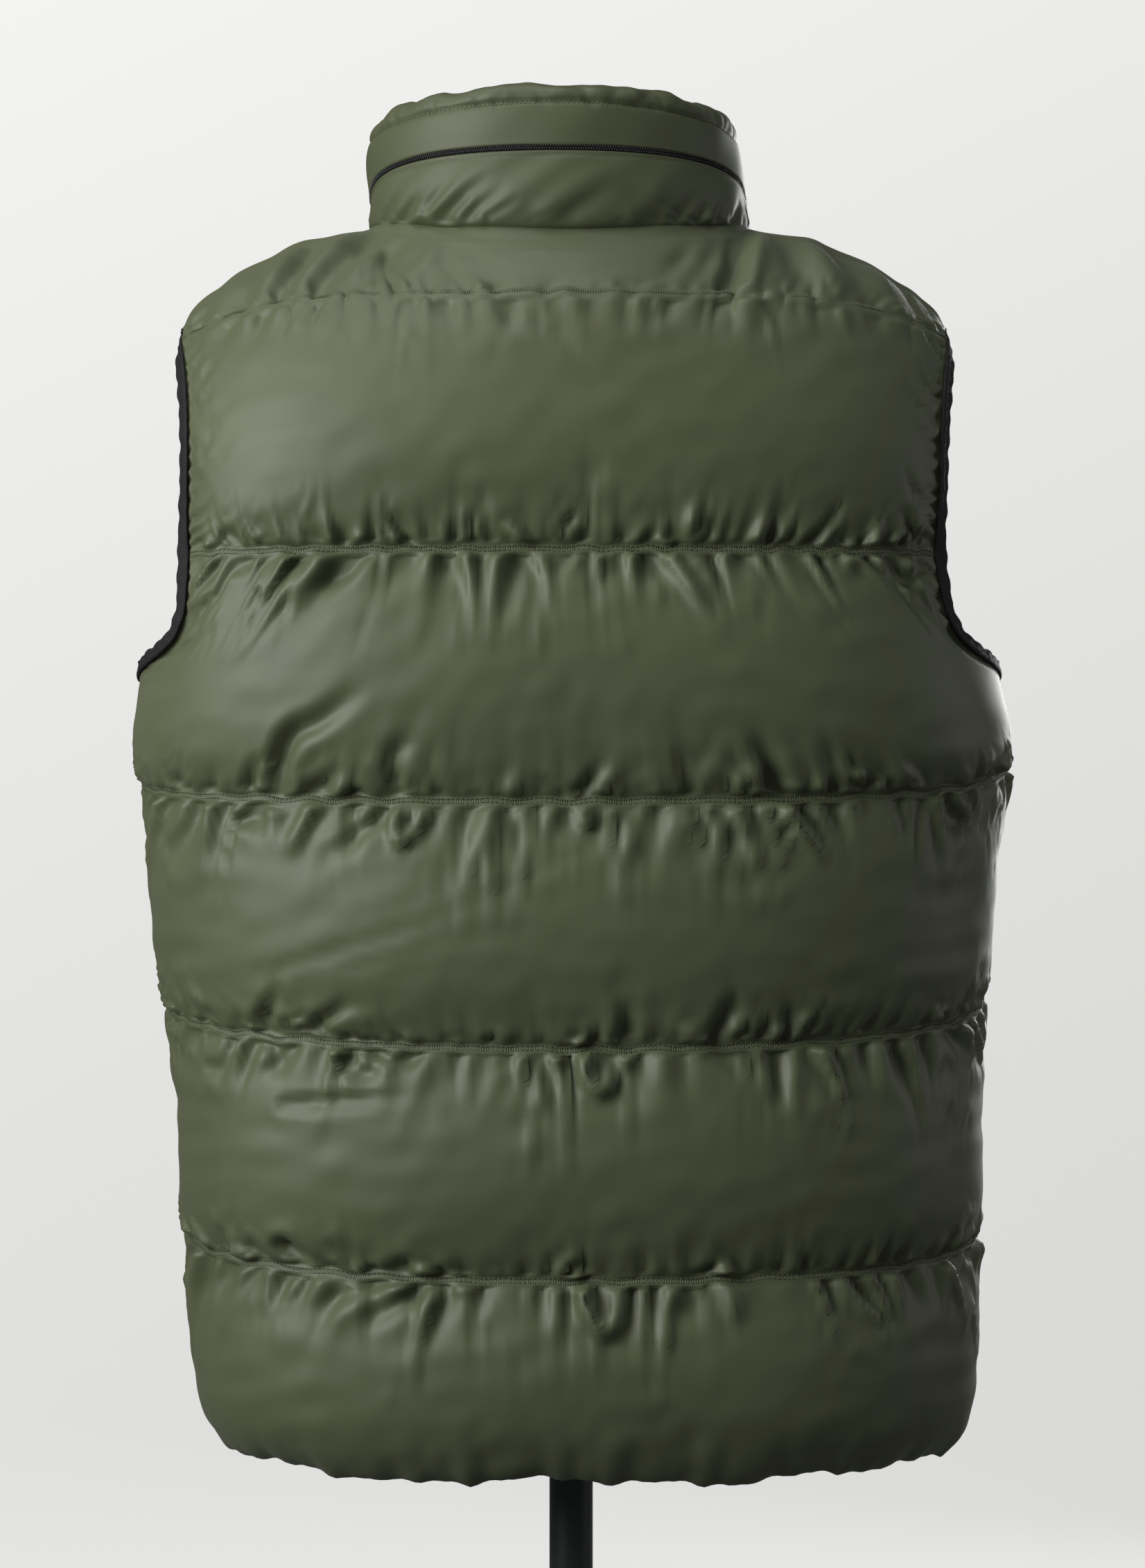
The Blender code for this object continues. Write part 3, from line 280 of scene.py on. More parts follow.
def halfPanel(columns, side, back):
    # shell points of one half, row by row, with t for each row
    size = np.arange(columns + 1) / columns
    size[-1] -= 0.0007
    rows, levels = [], []
    for k in range(6):
        shares = baffleShares(k)
        if k == 3:
            grid = underarmGrid(size, np.append(shares, 1.0), side, back)[:-1]
            rows.append(ringPoint(grid[..., 0], grid[..., 1], side, back))
        elif k < 3:
            z = mix(seamHeight(k, size, side, back), seamHeight(k + 1, size, side, back), shares[:, None])
            start = startAngle(z, back)
            rows.append(ringPoint(start + (quarter - start) * size, z, side, back))
        else:
            rows.append(upperPoint(*np.broadcast_arrays(size, (k + shares)[:, None]), side, back))
        levels.append(k + shares)
    rows.append(upperPoint(*np.broadcast_arrays(size, np.array([[5.9965]])), side, back))
    points = np.concatenate(rows)
    points[..., 0] += sway(points[..., 2])
    return points, np.append(np.concatenate(levels), 6.0), size


def panelShell(side, back):
    # side 0 is the whole back
    if side:
        points, levels, size = halfPanel(quilting["columns"], side, back)
        return points, levels, size * side
    right, levels, size = halfPanel(quilting["columns"], -1, back)
    left = halfPanel(quilting["columns"], 1, back)[0]
    return np.concatenate([right[:, :0:-1], left], 1), levels, np.concatenate([-size[:0:-1], size])


def gridNormals(points, outward):
    across = np.gradient(points, axis=1)
    up = np.gradient(points, axis=0)
    normal = unit(np.cross(across, up))
    normal *= np.sign(np.sum(normal * outward, -1, keepdims=True).mean())
    for _ in range(3):
        normal = unit(neighbours(normal) + 2 * normal)
    return normal


def loftField(points, levels, size, back):
    # height of the padded face above the quilting level
    k = np.minimum(levels, 5.9999).astype(int)
    f = levels - k
    held = np.array(quilting["held"])
    level = mix(held[k], held[k + 1], f)
    full = np.interp(levels, np.arange(6) + 0.5, quilting["loft"])
    free = np.minimum(f / (1 - np.where(levels < 5, quilting["band"], 0)), 1)
    swell = level + (1 - level) * np.sin(math.pi * free ** quilting["lean"]) ** quilting["fullness"]
    below = 1 - f
    tilt = np.where(below < quilting["band"], below / quilting["band"],
                    np.exp(-((below - quilting["band"]) / quilting["tiltReach"]) ** 2))
    lip = full * np.where(levels < 4.999, quilting["tilt"] * tilt, 0)
    middle = smoothStep((1.0 - np.abs(size)) / quilting["tiltSides"])
    shoulders = smoothStep((levels - quilting["shoulderStart"]) / quilting["shoulderSpan"])
    power = quilting["sidePower"] + quilting["shoulderPower"] * shoulders
    edge = 1 - quilting["sideLoss"] * np.abs(size) ** power[:, None]
    if not back:
        edge = edge * (1 - quilting["zipLoss"] * np.exp(-(np.abs(size) / quilting["zipReach"]) ** 2))
    x = (points[..., 0] - sway(points[..., 2])) / neck["half"]
    y = points[..., 1] - neck["centre"]
    y = y / np.where(y > 0, neck["back"], neck["front"])
    away = smoothStep((np.hypot(x, y) - 1) / quilting["neckFade"])
    fade = np.where((levels > 5)[:, None], away, 1.0)
    return ((full * swell)[:, None] + lip[:, None] * middle) * edge * fade


# creases: places in (x, z) millimetres from the deep end to the tip, half width and depth in millimetres
# a positive depth presses a trough into the cloth, a negative one raises a ridge
backCreases = (
    (((-52, 1039), (-62, 1020), (-75, 1003)), 4.0, -3.2), (((-65, 1040), (-66, 1065)), 4.0, -2.6),
    (((112, 1037), (125, 1024), (142, 1015)), 4.5, 3.0),
    (((-170, 1037), (-180, 1021), (-197, 1032)), 3.5, 3.4),
    (((160, 904), (157, 923), (148, 939), (135, 945), (111, 960)), 5.5, 4.0),
    (((97, 902), (95, 926), (86, 936)), 4.5, 3.0), (((139, 904), (124, 921)), 4.0, 2.6),
    (((175, 909), (167, 928)), 4.0, 2.6), (((95, 900), (92, 880), (84, 886), (77, 902)), 3.6, -3.4),
    (((137, 902), (152, 873)), 4.5, -3.0), (((95, 900), (126, 872)), 4.5, 2.8),
    (((-109, 905), (-135, 869)), 4.5, -3.0), (((-3, 902), (-8, 888), (-14, 901)), 3.4, -2.6),
    (((-4, 903), (-19, 924)), 4.0, 2.6), (((-112, 905), (-108, 920), (-98, 936)), 5.0, 3.6),
    (((166, 780), (156, 749)), 4.5, 3.0), (((120, 770), (116, 753), (105, 753)), 4.0, 3.0),
    (((110, 766), (89, 759), (78, 767)), 3.6, 2.6), (((153, 735), (84, 741)), 3.6, 1.6),
    (((-4, 767), (-10, 750), (-17, 745), (-28, 764)), 4.2, -4.0), (((-25, 762), (-32, 735)), 4.5, 2.2),
    (((-115, 768), (-110, 732)), 4.5, 3.0), (((166, 784), (156, 798)), 4.0, 2.6),
    (((138, 779), (117, 793)), 4.0, 2.6), (((-30, 770), (-30, 794)), 4.5, 3.0),
    (((-78, 772), (-88, 797)), 4.5, 3.0), (((-119, 776), (-115, 792)), 4.0, 2.2),
    (((155, 811), (90, 832), (32, 856), (-31, 886)), 2.6, 0.55),
    (((120, 811), (60, 826), (-7, 842)), 2.4, 0.4),
    (((155, 657), (146, 648), (154, 639), (159, 621)), 4.5, 4.6), (((90, 647), (139, 621)), 5.0, 2.6),
    (((69, 641), (112, 615)), 5.0, 2.6), (((-4, 640), (-12, 620), (-20, 614), (-31, 640)), 4.5, -4.0),
    (((-82, 643), (-88, 615)), 4.5, -3.0), (((9, 1155), (-12, 1130), (-17, 1125)), 2.0, 0.6),
)
# long soft folds from the neck and the shoulders
shoulderFolds = (
    (((104, 1222), (118, 1202), (134, 1184), (150, 1160)), 6.5, 2.8),
    (((90, 1216), (104, 1196), (120, 1172)), 6.0, 2.0),
    (((122, 1220), (136, 1196), (152, 1170), (160, 1146)), 6.0, -2.2),
    (((138, 1216), (152, 1190), (168, 1160)), 5.5, 2.6),
    (((152, 1210), (164, 1186), (180, 1152)), 5.5, -2.0),
    (((166, 1206), (178, 1180), (192, 1150)), 5.5, 2.4),
    (((182, 1199), (192, 1176), (204, 1148)), 5.0, -1.6),
    (((196, 1190), (204, 1170), (212, 1148)), 4.5, 2.0),
    (((-95, 1222), (-92, 1204), (-86, 1185), (-72, 1158)), 6.0, 4.2),
    (((-80, 1214), (-74, 1196), (-60, 1176)), 5.0, 2.0),
    (((-104, 1220), (-101, 1200), (-97, 1176), (-92, 1156)), 5.5, -2.4),
    (((-66, 1210), (-56, 1192), (-46, 1178)), 4.5, 1.6),
    (((-116, 1216), (-124, 1192), (-130, 1160)), 6.0, 2.2),
    (((-132, 1211), (-142, 1186), (-152, 1152)), 6.0, -1.8),
    (((-146, 1206), (-158, 1182), (-170, 1150)), 5.5, 2.2),
    (((-164, 1200), (-176, 1176), (-188, 1148)), 5.5, -1.6),
    (((-180, 1193), (-192, 1172), (-203, 1146)), 5.0, 2.0),
    (((-196, 1184), (-205, 1166), (-212, 1144)), 4.5, 1.6),
    (((70, 1212), (80, 1194), (92, 1178)), 5.0, -1.6), (((40, 1176), (30, 1160), (24, 1146)), 5.0, 1.4),
)
frontCreases = (
    (((150, 908), (140, 926), (120, 944)), 5.0, 3.2), (((90, 906), (94, 928)), 4.5, 2.8),
    (((60, 905), (52, 884)), 4.5, -2.8), (((128, 906), (146, 878)), 4.5, 2.8),
    (((140, 784), (128, 756)), 4.5, 3.0), (((70, 778), (82, 752)), 4.5, -3.0),
    (((104, 780), (100, 802)), 4.5, 2.6), (((40, 776), (46, 798)), 4.0, 2.4),
    (((120, 652), (138, 622)), 4.5, 3.0), (((60, 650), (54, 622)), 4.5, -2.8),
    (((96, 650), (90, 668)), 4.0, 2.4), (((100, 1036), (116, 1012)), 4.5, 2.8),
    (((52, 1034), (48, 1008)), 4.5, -2.8), (((140, 1038), (160, 1016)), 4.0, 2.8),
    (((92, 1200), (108, 1160), (118, 1120)), 7.0, 2.2), (((60, 1172), (72, 1140), (84, 1100)), 6.0, 1.8),
)


# trains of waves that the gathered stitching raises below and above each seam, in millimetres
seamWaves = {
    "half": (4.8, 12.5), "halfAbove": (3.0, 8.0), "height": (0.6, 4.6), "heightAbove": (0.5, 3.2),
    "reach": (15.0, 46.0), "reachAbove": (7.0, 25.0), "start": 3.2, "startAbove": 0.2, "rise": 3.5,
    "heightPower": 1.9, "reachPower": 1.4, "fadePower": 1.7, "farthest": 70, "count": 401,
    "fan": 0.85, "sway": 0.30, "yokeHeight": 0.45, "yokeReach": 0.6,
}


def waveTrain(points, levels, size, seed):
    # alternating ridges and troughs below and above each quilting line
    dice = np.random.default_rng(seed)
    count = seamWaves["count"]
    signs = np.where(np.arange(count) % 2, 1, -1)
    total = np.zeros(points.shape[:2])
    climb = np.concatenate([[0], np.cumsum(np.linalg.norm(np.diff(points, axis=0), axis=2).mean(1))]) / mm
    for k in range(1, 6):
        row = nearestRow(levels, k)
        run = runAlong(points[row]) / mm
        highest, longest = (seamWaves["yokeHeight"], seamWaves["yokeReach"]) if k == 5 else (1.0, 1.0)
        for word, way in (("", -1), ("Above", 1)):
            reach = (climb - climb[row]) * way
            rows = np.where((reach >= 0) & (reach < seamWaves["farthest"]))[0]
            knots = np.cumsum(dice.uniform(*seamWaves["half" + word], count - 1))
            knots = np.concatenate([[-20], knots - 10])
            heights = signs * mix(*seamWaves["height" + word], dice.random(count) ** seamWaves["heightPower"])
            lengths = mix(*seamWaves["reach" + word], dice.random(count) ** seamWaves["reachPower"])
            sways = dice.normal(0, seamWaves["sway"], count)
            d = reach[rows][:, None]
            place = run - (np.interp(run, knots, sways) + seamWaves["fan"] * size) * d
            at = np.clip(np.searchsorted(knots, place) - 1, 0, count - 2)
            share = smoothStep((place - knots[at]) / (knots[at + 1] - knots[at]))
            height = mix(heights[at], heights[at + 1], share)
            length = mix(lengths[at], lengths[at + 1], share) * longest
            fade = np.exp(-(d / length) ** seamWaves["fadePower"])
            fade = fade * smoothStep((d - seamWaves["start" + word]) / seamWaves["rise"])
            total[rows] += height * fade * highest * mm
    return total


def curvedPath(places, count=14):
    # smooth path through a few places
    places = np.asarray(places, float)
    n = len(places)
    if n == 2:
        return mix(places[0], places[1], np.linspace(0, 1, count)[:, None])
    ends = np.concatenate([[2 * places[0] - places[1]], places, [2 * places[-1] - places[-2]]])
    at = np.linspace(0, n - 1, count)
    k = np.minimum(at.astype(int), n - 2)
    f = (at - k)[:, None]
    a, b, c, d = ends[k], ends[k + 1], ends[k + 2], ends[k + 3]
    return 0.5 * (2 * b + (c - a) * f + (2 * a - 5 * b + 4 * c - d) * f ** 2
                  + (3 * b - a - 3 * c + d) * f ** 3)


def handPaths(creases, points, mirror=1):
    # lays creases given in (x, z) on the cloth
    flat = points[..., [0, 2]].reshape(-1, 2)
    solid = points.reshape(-1, 3)
    paths = []
    for places, halfWidth, depth in creases:
        route = curvedPath(places) * mm * np.array([mirror, 1])
        nearest = [np.argmin(np.sum((flat - place) ** 2, 1)) for place in route]
        onCloth = solid[nearest]
        onCloth[:, [0, 2]] = route
        paths.append((onCloth, halfWidth * mm, depth * mm))
    return paths


# short puckers of the quilting lines, in millimetres
puckers = {
    "spacing": (14.0, 40.0), "reach": (12.0, 34.0), "reachPower": 2.2, "halfWidth": (2.2, 4.4),
    "depth": (0.6, 2.3), "depthPower": 1.6, "deepest": 2.6, "troughs": 0.6,
    "lean": 0.55, "fan": 0.6, "fanSpread": 0.45, "bend": 0.25, "rowStep": 3.2, "columnStep": 3.0,
}


def gridPlaces(points, rows, columns):
    # places between the points of a grid
    rows = np.clip(rows, 0, points.shape[0] - 1)
    columns = np.clip(columns, 0, points.shape[1] - 1)
    i, j = rows.astype(int), columns.astype(int)
    i2, j2 = np.minimum(i + 1, points.shape[0] - 1), np.minimum(j + 1, points.shape[1] - 1)
    across = (columns - j)[:, None]
    low, high = mix(points[i, j], points[i, j2], across), mix(points[i2, j], points[i2, j2], across)
    return mix(low, high, (rows - i)[:, None])


def randomPuckers(points, levels, size, seed):
    # short troughs and ridges that fan out from the quilting lines, above and below
    dice = np.random.default_rng(seed)
    steps = np.linspace(0, 1, 9)
    order = np.arange(points.shape[1])
    paths = []
    for k in range(1, 5):
        row = nearestRow(levels, k)
        run = runAlong(points[row])
        for way in (-1, 1):
            at = dice.uniform(*puckers["spacing"]) * mm
            while at < run[-1]:
                column = np.interp(at, run, order)
                length = mix(*puckers["reach"], dice.random() ** puckers["reachPower"]) * mm
                fan = puckers["fan"] * np.interp(column, order, size) + dice.normal(0, puckers["fanSpread"])
                turn = puckers["lean"] * fan * steps + puckers["bend"] * dice.normal() * steps ** 2
                rows = row + way * (0.6 + steps * length / (puckers["rowStep"] * mm))
                path = gridPlaces(points, rows, column + turn * length / (puckers["columnStep"] * mm))
                depth = mix(*puckers["depth"], dice.random() ** puckers["depthPower"])
                depth = min(depth * (0.5 + length / (30 * mm)), puckers["deepest"]) * mm
                sign = 1 if dice.random() < puckers["troughs"] else -1
                paths.append((path, mix(*puckers["halfWidth"], dice.random()) * mm, sign * depth))
                at += dice.uniform(*puckers["spacing"]) * mm
    return paths


# gathers of the armholes: millimetres, slope in degrees
gathers = {
    "levels": (3.45, 5.3), "first": 3.0, "spacing": (7.0, 12.0), "reach": (14.0, 36.0), "reachPower": 1.3,
    "halfWidth": (1.7, 2.7), "depth": (0.8, 2.0), "slope": (40, 8), "bend": (0.08, 0.06),
}


def armholeGathers(points, levels, column, seed):
    # creases that rise inwards from the binding
    dice = np.random.default_rng(seed)
    lowest, highest = gathers["levels"]
    line = points[(levels > lowest) & (levels < highest), column]
    inward = -np.sign(line[0, 0])
    run = runAlong(line)
    creases = []
    at = gathers["first"] * mm
    while at < run[-1]:
        x, z = (np.interp(at, run, line[:, k]) / mm for k in (0, 2))
        length = mix(*gathers["reach"], dice.random() ** gathers["reachPower"])
        slope = math.radians(dice.normal(*gathers["slope"]))
        over, up = inward * length * math.cos(slope), length * math.sin(slope)
        bend = dice.normal(*gathers["bend"])
        places = ((x, z), (x + over * (0.5 + bend), z + up * (0.5 - bend)), (x + over, z + up))
        halfWidth = mix(*gathers["halfWidth"], dice.random())
        creases.append((places, halfWidth, mix(*gathers["depth"], dice.random())))
        at += dice.uniform(*gathers["spacing"]) * mm
    return handPaths(creases, points)


creaseShape = {"step": 0.9 * mm, "reach": 3.2, "taperPower": 2.2, "tip": 0.12, "hat": 0.55}


def creaseField(points, paths):
    # sum of soft troughs and ridges, deepest at each path's first end
    solid = points.reshape(-1, 3)
    field = np.zeros(len(solid))
    for path, halfWidth, depth in paths:
        run = runAlong(path)
        count = max(4, int(run[-1] / creaseShape["step"]))
        path = placesAt(np.linspace(0, run[-1], count), run, path)
        reach = creaseShape["reach"] * halfWidth
        near = np.where(np.all((solid > path.min(0) - reach) & (solid < path.max(0) + reach), 1))[0]
        if not len(near):
            continue
        gap = np.linalg.norm(solid[near, None] - path[None], axis=2)
        d = gap.min(1) / halfWidth
        along = gap.argmin(1) / (count - 1)
        past = np.where(along >= 1, np.exp(-d * d), 1)
        taper = 1 - along ** creaseShape["taperPower"] + creaseShape["tip"]
        bell = creaseShape["hat"] * d * d
        field[near] -= depth * (1 - bell) * np.exp(-bell) * taper * past
    return field.reshape(points.shape[:-1])


# where folds fade: on the stitched bands, beside the side seams and the zip, below the neck seam
fading = {
    "band": 0.016, "onBand": 0.06, "side": 0.03, "calm": 0.2, "gatherPower": 0.4,
    "zip": 0.005, "zipFade": 0.04, "crest": 5.35, "crestFade": 0.4, "crestLoss": 0.8,
}


def quietSeams(levels):
    away = smoothStep(awayFromBands(levels) / fading["band"])[:, None]
    return fading["onBand"] + (1 - fading["onBand"]) * away


def makeObject(name, vertices, faces, materials=()):
    mesh = bpy.data.meshes.new(name)
    mesh.from_pydata([tuple(v) for v in vertices], [], faces)
    mesh.shade_smooth()
    for material in materials:
        mesh.materials.append(material)
    return addObject(name, mesh)


def neckRim(angle):
    # direction across the padded rim along the neck seam
    share = np.cos(angle)
    lean = mix(neck["leanSide"], np.where(share > 0, neck["leanBack"], neck["leanFront"]), share ** 2)
    return unit(np.stack([lean * np.sin(angle), lean * share, 1 + 0 * share], -1))


def shareRims(normal, levels, size, back):
    # panels that meet at the neck and the shoulder turn their rims the same way
    reach, way = np.abs(size), np.where(size < 0, -1, 1)
    start = 0.0 if back else frontNeckEnd()
    angle = mix(start, quarter, np.minimum(reach / shell["neckShare"], 1)) * way
    out = np.clip((reach - shell["neckShare"]) / (1 - shell["neckShare"]), 0, 1)
    d = (shoulder["tip"] - neck["half"]) * out
    slope = (shoulder["slope"] + 2 * shoulder["drop"] * d) * way
    ridge = unit(np.stack([slope, 0 * d, 1 + 0 * d], -1))
    rim = np.where((reach > shell["neckShare"])[..., None], ridge, neckRim(angle))
    rim = unit(rim + 0.2 * neckRim(angle) * np.exp(-((reach - shell["neckShare"]) / 0.05) ** 2)[..., None])
    share = smoothStep((levels - 5.72) / 0.27)[:, None, None]
    return unit(mix(normal, rim[None], share))


def gridQuads(points, index, outward):
    # faces of a grid, turned to face outwards
    quads = np.stack([index[:-1, :-1], index[:-1, 1:], index[1:, 1:], index[1:, :-1]], -1).reshape(-1, 4)
    a, b, c = (points.reshape(-1, 3)[quads[:, i]] for i in (0, 1, 3))
    facing = np.sum(np.cross(b - a, c - a) * outward.reshape(-1, 3)[quads[:, 0]], 1).mean()
    return quads if facing > 0 else quads[:, ::-1]


def swellCloth(points, pins, outward):
    # pressure swells the panel between its pinned lines, as down does
    rows, columns = points.shape[:2]
    quads = gridQuads(points, np.arange(rows * columns).reshape(rows, columns), outward)
    cloth = makeObject("swelling_cloth", points.reshape(-1, 3), quads.tolist())
    cloth.vertex_groups.new(name="pins").add(np.where(pins.ravel() > 0)[0].tolist(), 1.0, "REPLACE")
    modifier = cloth.modifiers.new("cloth", "CLOTH")
    facts = modifier.settings
    facts.vertex_group_mass = "pins"
    facts.pin_stiffness = swelling["pinStiffness"]
    facts.quality = swelling["quality"]
    facts.mass = swelling["mass"]
    facts.tension_stiffness = facts.compression_stiffness = swelling["stiffness"]
    facts.shear_stiffness = swelling["stiffness"] / 3
    facts.bending_stiffness = swelling["bending"]
    facts.use_pressure = True
    facts.uniform_pressure_force = swelling["pressure"]
    facts.shrink_min = -swelling["growth"]
    facts.effector_weights.gravity = 0
    facts.air_damping = swelling["airDamping"]
    modifier.collision_settings.use_collision = False
    modifier.point_cache.frame_end = swelling["frames"]
    scene = bpy.context.scene
    for number in range(1, swelling["frames"] + 1):
        scene.frame_set(number)
        result = cloth.evaluated_get(bpy.context.evaluated_depsgraph_get()).data
    moved = np.empty(rows * columns * 3, np.float32)
    result.vertices.foreach_get("co", moved)
    scene.frame_set(1)
    bpy.data.objects.remove(cloth)
    shift = moved.reshape(points.shape).astype(float) - points
    for _ in range(swelling["smoothing"]):
        shift = (neighbours(shift) + 4 * shift) / 8
    far = np.linalg.norm(shift, axis=-1, keepdims=True)
    return points + shift * np.minimum(1, swelling["cap"] / np.maximum(far, 1e-9))


def paddedMesh(name, face, lining, outward, materials):
    # closed pad: fine face, lining with every fourth row and column, and a rim between them
    step = 4
    inner = lining[::step, ::step]
    index = np.arange(face[..., 0].size).reshape(face.shape[:2])
    under = np.arange(inner[..., 0].size).reshape(inner.shape[:2]) + index.size
    quads = gridQuads(face, index, outward)
    turned = quads[0, 0] != index[0, 0]
    below = np.stack([under[:-1, :-1], under[1:, :-1], under[1:, 1:], under[:-1, 1:]], -1).reshape(-1, 4)
    rest = below.tolist()
    for edge, inside, way in ((index[0], under[0], -1), (index[-1], under[-1], 1),
                              (index[:, 0], under[:, 0], 1), (index[:, -1], under[:, -1], -1)):
        for j in range(len(inside) - 1):
            outside = edge[j * step:(j + 1) * step + 1][::way]
            rest.append([*outside.tolist(), *inside[j:j + 2][::-way].tolist()])
    if turned:
        rest = [corners[::-1] for corners in rest]
    places = np.concatenate([face.reshape(-1, 3), inner.reshape(-1, 3)])
    obj = makeObject(name, places, quads.tolist() + rest, materials)
    slots = np.repeat([0, 1], [len(quads), len(rest)])
    obj.data.polygons.foreach_set("material_index", slots.tolist())
    flat = []
    for grid in (face, inner):
        across, up = gridRuns(grid)
        flat.append(np.stack([across - across[:, grid.shape[1] // 2][:, None], up], -1).reshape(-1, 2))
    addClothMap(obj, np.concatenate(flat))
    return obj


def gridRuns(grid):
    # distances along the rows and up the columns of a grid
    across = np.cumsum(np.pad(np.linalg.norm(np.diff(grid, axis=1), axis=2), ((0, 0), (1, 0))), 1)
    up = np.cumsum(np.pad(np.linalg.norm(np.diff(grid, axis=0), axis=2), ((1, 0), (0, 0))), 0)
    return across, up


def addClothMap(obj, flat):
    # map in metres, with one place for each vertex
    corners = np.empty(len(obj.data.loops), np.int32)
    obj.data.loops.foreach_get("vertex_index", corners)
    obj.data.uv_layers.new(name="cloth").data.foreach_set("uv", flat[corners].ravel())


ripples = {
    "height": 0.20 * mm / 2.2, "count": 9, "slant": 0.35,
    "long": 0.130, "longSpread": (0.6, 1.6), "short": 0.021, "shortSpread": (0.7, 1.9),
}


def longRipples(points, seed):
    # faint ripples that run along the baffles, slightly aslant
    dice = np.random.default_rng(seed)
    x, z = points[..., 0], points[..., 2]
    total = np.zeros(x.shape)
    for _ in range(ripples["count"]):
        slant = dice.normal(0, ripples["slant"])
        across = (z - slant * x) / (ripples["short"] * dice.uniform(*ripples["shortSpread"]))
        along = (x + slant * z) / (ripples["long"] * dice.uniform(*ripples["longSpread"]))
        first = np.sin(2 * math.pi * across + dice.uniform(0, fullWave))
        total += first * np.sin(2 * math.pi * along + dice.uniform(0, fullWave))
    return total * ripples["height"]


hem = {
    "scallop": 3.2 * mm, "fade": 0.45, "ends": 20 * mm,
    "length": 0.063, "spread": (0.85, 1.2), "phase": (0, 3.1),
    # shares of the length and of the height
    "waves": ((1, 0.55), (0.37, 0.30), (0.23, 0.14), (2.3, 0.6)),
}


def fadeEnds(run):
    # waves fade out at both ends of a row
    return smoothStep(run / hem["ends"]) * smoothStep((run[-1] - run) / hem["ends"])


def scallopHem(points, levels, seed):
    # uneven scallops of the hem, with sharper points between them
    dice = np.random.default_rng(seed)
    run = runAlong(points[0])
    wave = 0
    for part, share in hem["waves"]:
        phase = math.pi * run / (hem["length"] * part * dice.uniform(*hem["spread"]))
        wave = wave + share * (1 - 2 * np.abs(np.sin(phase + dice.uniform(*hem["phase"]))))
    return hem["scallop"] * wave * fadeEnds(run) * (1 - smoothStep(levels / hem["fade"]))[:, None]


wander = {"height": 0.4, "length": (0.012, 0.045), "fade": 0.10, "waves": 4, "measuredRow": 40}


def wanderSeams(points, levels, seed):
    # the stitching strays a little up and down between its puckers
    dice = np.random.default_rng(seed)
    run = runAlong(points[wander["measuredRow"]])
    total = np.zeros(points.shape[:2])
    for k in range(1, 6):
        wave = sum(np.sin(2 * math.pi * run / dice.uniform(*wander["length"]) + dice.uniform(0, fullWave))
                   for _ in range(wander["waves"]))
        near = np.exp(-((levels - k) / wander["fade"]) ** 2)[:, None]
        total += wave * fadeEnds(run) * wander["height"] * mm * near
    return total


def overhang(levels):
    # how far the belly of each baffle hangs down over the stitching below it
    drop = np.sin(math.pi * (levels - np.floor(levels)) ** 0.6) ** 1.5
    return quilting["overhang"] * np.where((levels < 4.999) & (levels > 0), drop, 0)[:, None]


shoulderTip = {"reach": 12 * mm, "inwards": 5 * mm, "down": 1.5 * mm}
# top edge of the panels, which laps up over the collar's foot
lap = {"start": 5.8, "half": 0.36, "fade": 0.15, "rise": 0.9 * mm, "wave": 1.6 * mm}


def roundTips(points, columns):
    # rounds the outer corners of the shoulders
    for column in columns:
        tip = points[-1, column]
        away = (points[..., 0] - tip[0]) ** 2 + (points[..., 2] - tip[2]) ** 2
        near = np.exp(-away / shoulderTip["reach"] ** 2)
        points[..., 0] -= np.sign(tip[0]) * shoulderTip["inwards"] * near
        points[..., 2] -= shoulderTip["down"] * near


def heldPlaces(levels, shape):
    # stitched bands, edges and the tops of the shoulders stay in place while the padding swells
    pins = np.zeros(shape)
    for k in range(1, 5):
        row = nearestRow(levels, k)
        pins[row - 3:row + 1] = 1
    pins[[0, -1]] = 1
    pins[:, [0, -1]] = 1
    pins[levels > quilting["pinnedAbove"]] = 1
    return pins


def lapEdge(levels, size, seed):
    # uneven rise of the edge along the collar
    dice = np.random.default_rng(seed)
    rim = sum(np.sin(size * dice.uniform(18, 70) + dice.uniform(0, fullWave)) for _ in range(5)) / 5
    near = smoothStep((levels - lap["start"]) / lap["fade"])[:, None]
    near = near * smoothStep((lap["half"] - np.abs(size)) / lap["fade"])
    return near * (lap["rise"] + lap["wave"] * rim)


